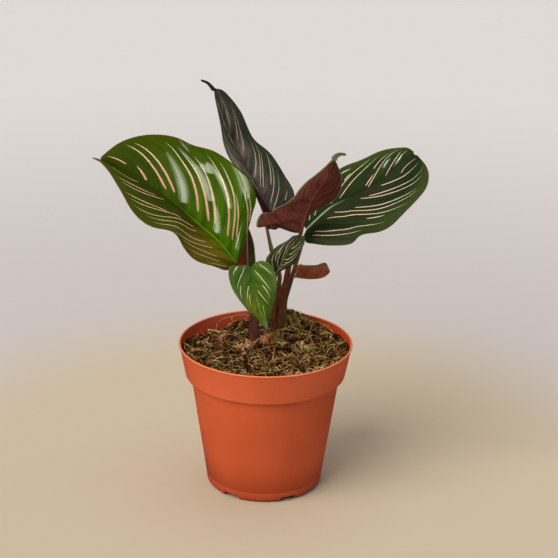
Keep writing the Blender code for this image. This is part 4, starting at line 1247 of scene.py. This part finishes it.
def pot_profile():
    """The pot's section as (radius, height), from the rim down outside, and back up inside."""
    inner_collar = COLLAR_FOOT_RADIUS - WALL
    inner_foot = FOOT_RADIUS - WALL
    floor = FLOOR_LIFT + WALL
    return [
        # The rolled rim and the collar
        *arc((RIM_RADIUS - 0.75, POT_HEIGHT - 0.75), 0.75, 100, -30, 8),
        (RIM_RADIUS - 0.55, POT_HEIGHT - 1.9),
        (RIM_RADIUS - 0.85, POT_HEIGHT - 2.6),
        *arc((COLLAR_FOOT_RADIUS - 1.3, COLLAR_BASE + 1.3), 1.3, -10, -85, 8),
        # The step under the collar, the body and its seam
        *arc((SHOULDER_RADIUS + 1.3, COLLAR_BASE - 1.3), 1.0, 95, 172, 6),
        (SHOULDER_RADIUS - 0.1, COLLAR_BASE - 3.5),
        (FOOT_RADIUS + 0.75, 7.6),
        (FOOT_RADIUS + 0.5, 7.2),
        (FOOT_RADIUS + 0.55, 6.8),
        *arc((FOOT_RADIUS - 2.2, 3.2), 2.5, 2, -58, 8),
        # The foot ring, the raised floor and the pad in its middle
        (FOOT_RING_RADIUS, 0.35),
        (FOOT_RING_RADIUS - 0.4, 0.0),
        (FOOT_RING_RADIUS - 2.7, 0.0),
        (FOOT_RING_RADIUS - 3.0, 0.3),
        (FOOT_RING_RADIUS - 3.3, FLOOR_LIFT),
        (14.3, FLOOR_LIFT),
        (14.0, 0.3),
        (13.7, 0.0),
        (0.0, 0.0),
        # The inside, up to the rim
        (0.0, WALL),
        (12.5, WALL),
        (12.8, floor),
        (inner_foot - 2.0, floor),
        *arc((inner_foot - 2.0, floor + 2.0), 2.0, -70, -10, 4),
        (SHOULDER_RADIUS - WALL, COLLAR_BASE - 0.6),
        (inner_collar - 0.5, COLLAR_BASE + 0.8),
        (inner_collar, COLLAR_BASE + 1.8),
        (RIM_RADIUS - WALL - 0.1, POT_HEIGHT - 1.0),
        (RIM_RADIUS - WALL + 0.15, POT_HEIGHT - 0.3),
    ]


def spun(name, profile, steps):
    """A section turned about the upright axis."""
    mesh = bpy.data.meshes.new(name)
    corners = [(radius * MM, 0.0, height * MM) for radius, height in profile]
    count = len(corners)
    edges = [(index, (index + 1) % count) for index in range(count)]
    mesh.from_pydata(corners, edges, [])
    piece = add_object(name, mesh)
    turn = piece.modifiers.new("Turn", "SCREW")
    turn.steps = steps
    turn.render_steps = steps
    turn.use_merge_vertices = True
    turn.merge_threshold = 0.02 * MM
    apply_modifiers(piece)
    weld(piece, 0.02, turn_outward=True)
    return piece


def cut_out(piece, cutters):
    """Takes the cutters out of a piece one by one and removes them."""
    for cutter in cutters:
        cut = piece.modifiers.new("Cut", "BOOLEAN")
        cut.operation = "DIFFERENCE"
        cut.object = cutter
        apply_modifiers(piece)
        bpy.data.objects.remove(cutter, do_unlink=True)


def notch_cutter(angle):
    """A block with rounded edges that cuts one notch into the pot's foot."""
    deselect_all()
    middle = Vector((math.cos(angle), math.sin(angle), 0.0)) * FOOT_RADIUS * MM
    bpy.ops.mesh.primitive_cube_add(size=1.0, location=middle, rotation=(0, 0, angle))
    cutter = bpy.context.object
    cutter.scale = (NOTCH_DEPTH * MM, NOTCH_WIDTH * MM, 2.0 * NOTCH_HEIGHT * MM)
    bpy.ops.object.transform_apply(location=False, rotation=False, scale=True)
    rounding = cutter.modifiers.new("Round", "BEVEL")
    rounding.width = 0.6 * MM
    rounding.segments = 3
    apply_modifiers(cutter)
    return cutter


def drain_cutter(angle):
    """A cylinder that cuts one drain hole through the pot's floor."""
    deselect_all()
    middle = Vector((math.cos(angle), math.sin(angle), 0.0)) * DRAIN_FROM_AXIS * MM
    bpy.ops.mesh.primitive_cylinder_add(vertices=40, radius=DRAIN_RADIUS * MM,
                                        depth=DRAIN_DEPTH * MM, location=middle)
    return bpy.context.object


def make_pot():
    """The pot: its section turned, then cut by the notches and the drain holes between them."""
    pot = spun("nursery_pot", pot_profile(), POT_STEPS)
    cutters = []
    for index in range(NOTCH_COUNT):
        angle = FIRST_NOTCH + index * TURN / NOTCH_COUNT - math.pi / 2.0
        cutters.append(notch_cutter(angle))
        cutters.append(drain_cutter(angle + math.pi / NOTCH_COUNT))
    cut_out(pot, cutters)
    pot.data.materials.clear()
    pot.data.materials.append(terracotta_material())
    finish_piece(pot, "terracotta_plastic", "pot", smooth_angle=32.0)


def uneven(x, y, size, level):
    """Smooth noise from -1 to 1 over the soil, with bumps about this many millimetres wide."""
    return noise.noise(Vector((x / size, y / size, level)))


def bell(x, y, centre, spread):
    """A smooth bell round a centre, 1 high."""
    off_centre = (Vector((x, y)) - centre).length
    return math.exp(-(off_centre**2) / (2.0 * spread**2))


def soil_height(x, y):
    """The height of the soil's surface: level, heaped round the shoots, and lumpy."""
    wall_share = min(math.hypot(x, y) / SOIL_RADIUS, 1.0)
    mound = MOUND_HEIGHT * bell(x, y, MOUND_CENTRE, MOUND_SPREAD)
    mound *= 1.0 - 0.45 * wall_share**8
    return SOIL_LEVEL + mound + 1.6 * uneven(x, y, 11.0, 0.27) + 0.8 * uneven(x, y, 5.0, 1.8)


def crumbled_height(x, y):
    """The soil's surface with its crumbs and pits, down to half a millimetre."""
    wall_share = min(math.hypot(x, y) / SOIL_RADIUS, 1.0)
    behind = max(y, 0.0) / SOIL_RADIUS
    nearest = noise.voronoi(Vector((x / 2.6, y / 2.6, 4.0)))[0]
    crumbs = 1.5 * (0.45 - nearest[0])
    grains = 0.55 * uneven(x, y, 1.1, 9.0)
    hollows = -1.4 * max(uneven(x, y, 6.5, 7.0), 0.0)
    rough = (crumbs + grains + hollows) * (1.0 - 0.4 * wall_share**10)
    heaped = 3.0 * (abs(x) / SOIL_RADIUS) ** 10 + 1.6 * wall_share**6 * (1.0 - behind)
    heaped += HEAP_HEIGHT * bell(x, y, HEAP_CENTRE, HEAP_SPREAD)
    depth = BACK_LEFT_HOLLOW if x < 0.0 else -BACK_RIGHT_RISE
    aside = (abs(x) - BACK_FROM_MIDDLE) / BACK_SPREAD
    sunk = depth * wall_share**4 * min(1.6 * behind, 1.0) * math.exp(-(aside**2))
    return soil_height(x, y) + rough + heaped - sunk


def wall_inside(height):
    """The inner radius of the pot's collar at a height."""
    flare = (RIM_RADIUS - COLLAR_FOOT_RADIUS) / COLLAR_HEIGHT
    return COLLAR_FOOT_RADIUS - WALL + flare * (height - COLLAR_BASE)


def make_soil():
    """A round fine grid for the surface, extruded down to the pot's floor."""
    deselect_all()
    bpy.ops.mesh.primitive_grid_add(x_subdivisions=SOIL_STEPS, y_subdivisions=SOIL_STEPS, size=2.0)
    soil = bpy.context.object
    soil.name = "peat_fill"
    for corner in soil.data.vertices:
        x = corner.co.x * math.sqrt(1.0 - corner.co.y**2 / 2.0) * (SOIL_RADIUS + INTO_WALL)
        y = corner.co.y * math.sqrt(1.0 - corner.co.x**2 / 2.0) * (SOIL_RADIUS + INTO_WALL)
        height = crumbled_height(x, y)
        squeeze = min(1.0, (wall_inside(height) + 0.5) / max(math.hypot(x, y), 1.0))
        corner.co = Vector((x * squeeze, y * squeeze, height)) * MM
    only(soil)
    bpy.ops.object.mode_set(mode="EDIT")
    bpy.ops.mesh.select_all(action="DESELECT")
    bpy.ops.mesh.select_non_manifold(extend=False)
    for radius, height in SOIL_RINGS:
        bpy.ops.mesh.extrude_region_move()
        bpy.ops.object.mode_set(mode="OBJECT")
        for corner in soil.data.vertices:
            if corner.select:
                angle = math.atan2(corner.co.y, corner.co.x)
                corner.co = Vector((radius * math.cos(angle), radius * math.sin(angle), height)) * MM
        bpy.ops.object.mode_set(mode="EDIT")
    bpy.ops.mesh.edge_face_add()
    bpy.ops.mesh.select_all(action="SELECT")
    bpy.ops.mesh.normals_make_consistent(inside=False)
    bpy.ops.object.mode_set(mode="OBJECT")
    soil.data.materials.append(peat_material())
    finish_piece(soil, "potting_soil", "soil")


def random_spot(draw, inset=1.5):
    """A random place on the soil, inside the pot's wall."""
    radius = (SOIL_RADIUS - inset) * math.sqrt(draw.random())
    angle = draw.uniform(0.0, TURN)
    return radius * math.cos(angle), radius * math.sin(angle)


def inside_wall(x, y):
    """A place on the soil, moved inward if it lies in the pot's wall."""
    reach = math.hypot(x, y)
    limit = SOIL_RADIUS - SHRED_INSET
    if reach > limit:
        return x * limit / reach, y * limit / reach
    return x, y


def lay_shred(curve, draw, kind, x, y, length, thickness, arch, bend):
    """One thin shred that lies over the soil, thickest in its middle."""
    heading = draw.uniform(0.0, TURN)
    places = []
    radii = []
    for index in range(SHRED_STEPS + 1):
        share = index / SHRED_STEPS
        x, y = inside_wall(x, y)
        rise = 0.3 + arch * math.sin(math.pi * share) + draw.uniform(-0.15, 0.2)
        places.append(Vector((x, y, crumbled_height(x, y) + rise)))
        radii.append(thickness * (1.0 - 0.6 * abs(2.0 * share - 1.0)))
        x += length / SHRED_STEPS * math.cos(heading)
        y += length / SHRED_STEPS * math.sin(heading)
        heading += bend + draw.uniform(-0.15, 0.15)
    add_line(curve, places, radii, list(SHRED_TINTS).index(kind))


def draw_root(curve, kind, points, radii):
    """One single root or straw along given points, in millimetres."""
    line = Line([Vector(point) for point in points])
    steps = 8 * len(points)
    shares = [index / steps for index in range(steps + 1)]
    widths = [radii[0] + (radii[1] - radii[0]) * share for share in shares]
    add_line(curve, [line.at(share) for share in shares], widths, list(SHRED_TINTS).index(kind))


def make_fibres():
    """Thin shreds of peat, coir and straw over the soil, with tangles and single roots."""
    draw = random.Random(SOIL_SEED)
    curve = round_curve("soil_fibres", 0)
    for kind, (light, dark) in SHRED_TINTS.items():
        curve.materials.append(shred_material(kind, light, dark))
    for _ in range(SHRED_COUNT):
        x, y = random_spot(draw)
        kind = draw.choices(list(SHRED_TINTS), weights=(3.5, 2, 3, 5, 1, 0))[0]
        length = draw.choice((1.5, 2.5, 3.5, 5.0, 8.0))
        lay_shred(curve, draw, kind, x, y, length, draw.uniform(0.07, 0.22), draw.uniform(0.0, 1.4),
                  draw.uniform(-0.2, 0.2))
    for _ in range(STRAW_COUNT):
        x, y = random_spot(draw)
        kind = draw.choice(("olive", "straw", "russet", "straw"))
        lay_shred(curve, draw, kind, draw.choice((x, abs(x))), y, draw.uniform(7.0, 17.0),
                  draw.uniform(0.12, 0.27), draw.uniform(0.5, 2.0), draw.uniform(-0.06, 0.06))
    for (x, y), spread, count, kind in TANGLES:
        for _ in range(count):
            lay_shred(curve, draw, kind, x + draw.gauss(0.0, spread), y + draw.gauss(0.0, spread * 0.7),
                      draw.uniform(2.0, 6.0), draw.uniform(0.15, 0.4), draw.uniform(0.5, 3.2),
                      draw.uniform(-0.5, 0.5))
    for kind, points, radii in ROOTS:
        draw_root(curve, kind, points, radii)
    finish_piece(curve_to_mesh("soil_fibres", curve), "potting_soil")


def make_crumbs():
    """Lumps of peat, chips and perlite: many copies of one small ball, each squashed and uneven."""
    draw = random.Random(CRUMB_SEED)
    deselect_all()
    bpy.ops.mesh.primitive_ico_sphere_add(subdivisions=1, radius=1.0)
    crumbs = bpy.context.object
    crumbs.name = "soil_crumbs"
    ball = [corner.co.copy() for corner in crumbs.data.vertices]
    faces = [tuple(face.vertices) for face in crumbs.data.polygons]
    corners, sides, kinds = [], [], []
    for kind, (count, least, most, flatness) in enumerate(CRUMBS.values()):
        for _ in range(count):
            x, y = random_spot(draw, 2.5)
            size = draw.uniform(least, most)
            width, depth = draw.uniform(0.6, 1.3), draw.uniform(0.5, 0.9)
            shape = Vector((size * width, size * depth, size * flatness))
            turn = Euler((draw.uniform(-0.6, 0.6), draw.uniform(-0.6, 0.6), draw.uniform(0.0, TURN)))
            middle = Vector((x, y, crumbled_height(x, y) + 0.35 * size * flatness))
            first = len(corners)
            for corner in ball:
                place = corner * shape * draw.uniform(0.75, 1.2)
                place.rotate(turn)
                corners.append((middle + place) * MM)
            sides += [tuple(first + index for index in face) for face in faces]
            kinds += [kind] * len(faces)
    crumbs.data.clear_geometry()
    crumbs.data.from_pydata(corners, [], sides)
    for kind in CRUMBS:
        crumbs.data.materials.append(shred_material(f"{kind} crumb", *CRUMB_TINTS[kind]))
    crumbs.data.polygons.foreach_set("material_index", kinds)
    finish_piece(crumbs, "potting_soil", smooth_angle=50.0)


def make_clump(name, centre, shape, tint):
    """One larger lump that lies on the soil: a ball with a rough and cracked skin."""
    deselect_all()
    bpy.ops.mesh.primitive_ico_sphere_add(subdivisions=4, radius=1.0)
    clump = bpy.context.object
    clump.name = name
    middle = Vector((*centre, crumbled_height(*centre) + 0.35 * shape[2]))
    for corner in clump.data.vertices:
        lumps = 1.0 + 0.40 * noise.noise(corner.co * 2.1) + 0.30 * noise.noise(corner.co * 5.5)
        lumps += 0.14 * noise.noise(corner.co * 13.0)
        corner.co = (middle + corner.co * Vector(shape) * lumps) * MM
    clump.data.materials.append(shred_material(f"{name} skin", *tint))
    finish_piece(clump, "potting_soil")


def make_floor():
    """A plain matt floor, sandy near the pot and pale further away."""
    deselect_all()
    bpy.ops.mesh.primitive_plane_add(size=FLOOR_SIZE)
    floor = bpy.context.object
    floor.name = "floor"
    made, graph, shader = new_material("pale floor")
    place = graph.object_place()
    length = graph.add("ShaderNodeVectorMath", operation="LENGTH")
    graph.feed(length.inputs[0], place)
    away = length.outputs["Value"]
    paper = graph.paint(FLOOR["middle"], (graph.spread(away, 0.3, 1.1), FLOOR["far"]),
                        (graph.spread(away, 0.19, 0.36, 1.0, 0.0), FLOOR["near"]))
    graph.feed(shader["Base Color"], paper)
    graph.feed(shader["Roughness"], graph.spread(graph.noise(place, 900.0), 0.3, 0.7, 0.8, 0.95))
    shader["Specular IOR Level"].default_value = 0.0
    floor.data.materials.append(made)
    floor.visible_glossy = False


def towards(bearing, height):
    """The way to a light. Its bearing is 0 degrees behind the plant and 90 to the plant's right."""
    turn = math.radians(bearing)
    rise = math.radians(height)
    return Vector((math.sin(turn) * math.cos(rise), math.cos(turn) * math.cos(rise), math.sin(rise)))


def add_light(name, kind, bearing, height, tint):
    """A lamp that points at the plant."""
    light = add_object(name, bpy.data.lights.new(name, kind))
    light.rotation_euler = (-towards(bearing, height)).to_track_quat("-Z", "Y").to_euler()
    light.data.color = tint
    return light


def make_sun(name, bearing, height, spread, strength, tint=(1.0, 1.0, 1.0)):
    """A soft and even light from far away."""
    light = add_light(name, "SUN", bearing, height, tint)
    light.data.angle = math.radians(spread)
    light.data.energy = strength


def make_softbox(name, bearing, height, width, length, brightness, tint):
    """A window of light that is seen only in the gloss of the leaves."""
    light = add_light(name, "AREA", bearing, height, tint)
    light.location = PLANT_MIDDLE + towards(bearing, height) * SOFTBOX_DISTANCE
    light.visible_diffuse = False
    light.data.shape = "RECTANGLE"
    light.data.size = width
    light.data.size_y = length
    light.data.energy = brightness * math.pi * width * length


def make_studio():
    world = bpy.data.worlds.new("studio")
    world.use_nodes = True
    graph = Graph(world.node_tree)
    background = world.node_tree.nodes["Background"].inputs
    background["Color"].default_value = (0.9, 0.9, 0.92, 1.0)
    in_gloss = graph.add("ShaderNodeLightPath").outputs["Is Glossy Ray"]
    graph.feed(background["Strength"], graph.between(in_gloss, 0.33, 0.04))
    bpy.context.scene.world = world
    bpy.context.scene.view_settings.view_transform = "Standard"
    make_sun("key light", -135.0, 42.0, 50.0, 2.7, (1.0, 0.97, 0.93))
    make_sun("top light", 20.0, 78.0, 60.0, 0.65)
    make_softbox("gloss light", 128.0, 13.0, 2.1, 1.9, 10.5, (1.0, 0.97, 0.78))
    make_softbox("left gloss light", -121.0, 16.0, 1.0, 0.9, 14.0, (0.95, 1.0, 0.98))


def make_camera():
    ahead, right, above = eye_axes()
    lens = bpy.data.cameras.new("camera")
    lens.lens = EYE_LENS
    lens.sensor_width = 36.0
    lens.clip_start = 0.01
    camera = add_object("camera", lens)
    eye = (EYE_AIM - ahead * EYE_DISTANCE) * MM
    turned = Matrix((right, above, -ahead)).transposed()
    camera.matrix_world = Matrix.Translation(eye) @ turned.to_4x4()
    bpy.context.scene.camera = camera


def build():
    make_groups()
    make_camera()
    make_studio()
    make_floor()
    make_pot()
    make_soil()
    make_fibres()
    make_crumbs()
    for name, centre, shape, tint in CLUMPS:
        make_clump(name, centre, shape, tint)
    make_shoots()
    for name, blade in BLADES.items():
        piece = fine_blade(name, blade)
        slot = "bright_leaf" if name in ("leaf_broad_left", "leaf_front_heart") else "dark_leaf"
        finish_piece(piece, slot, name)


build()
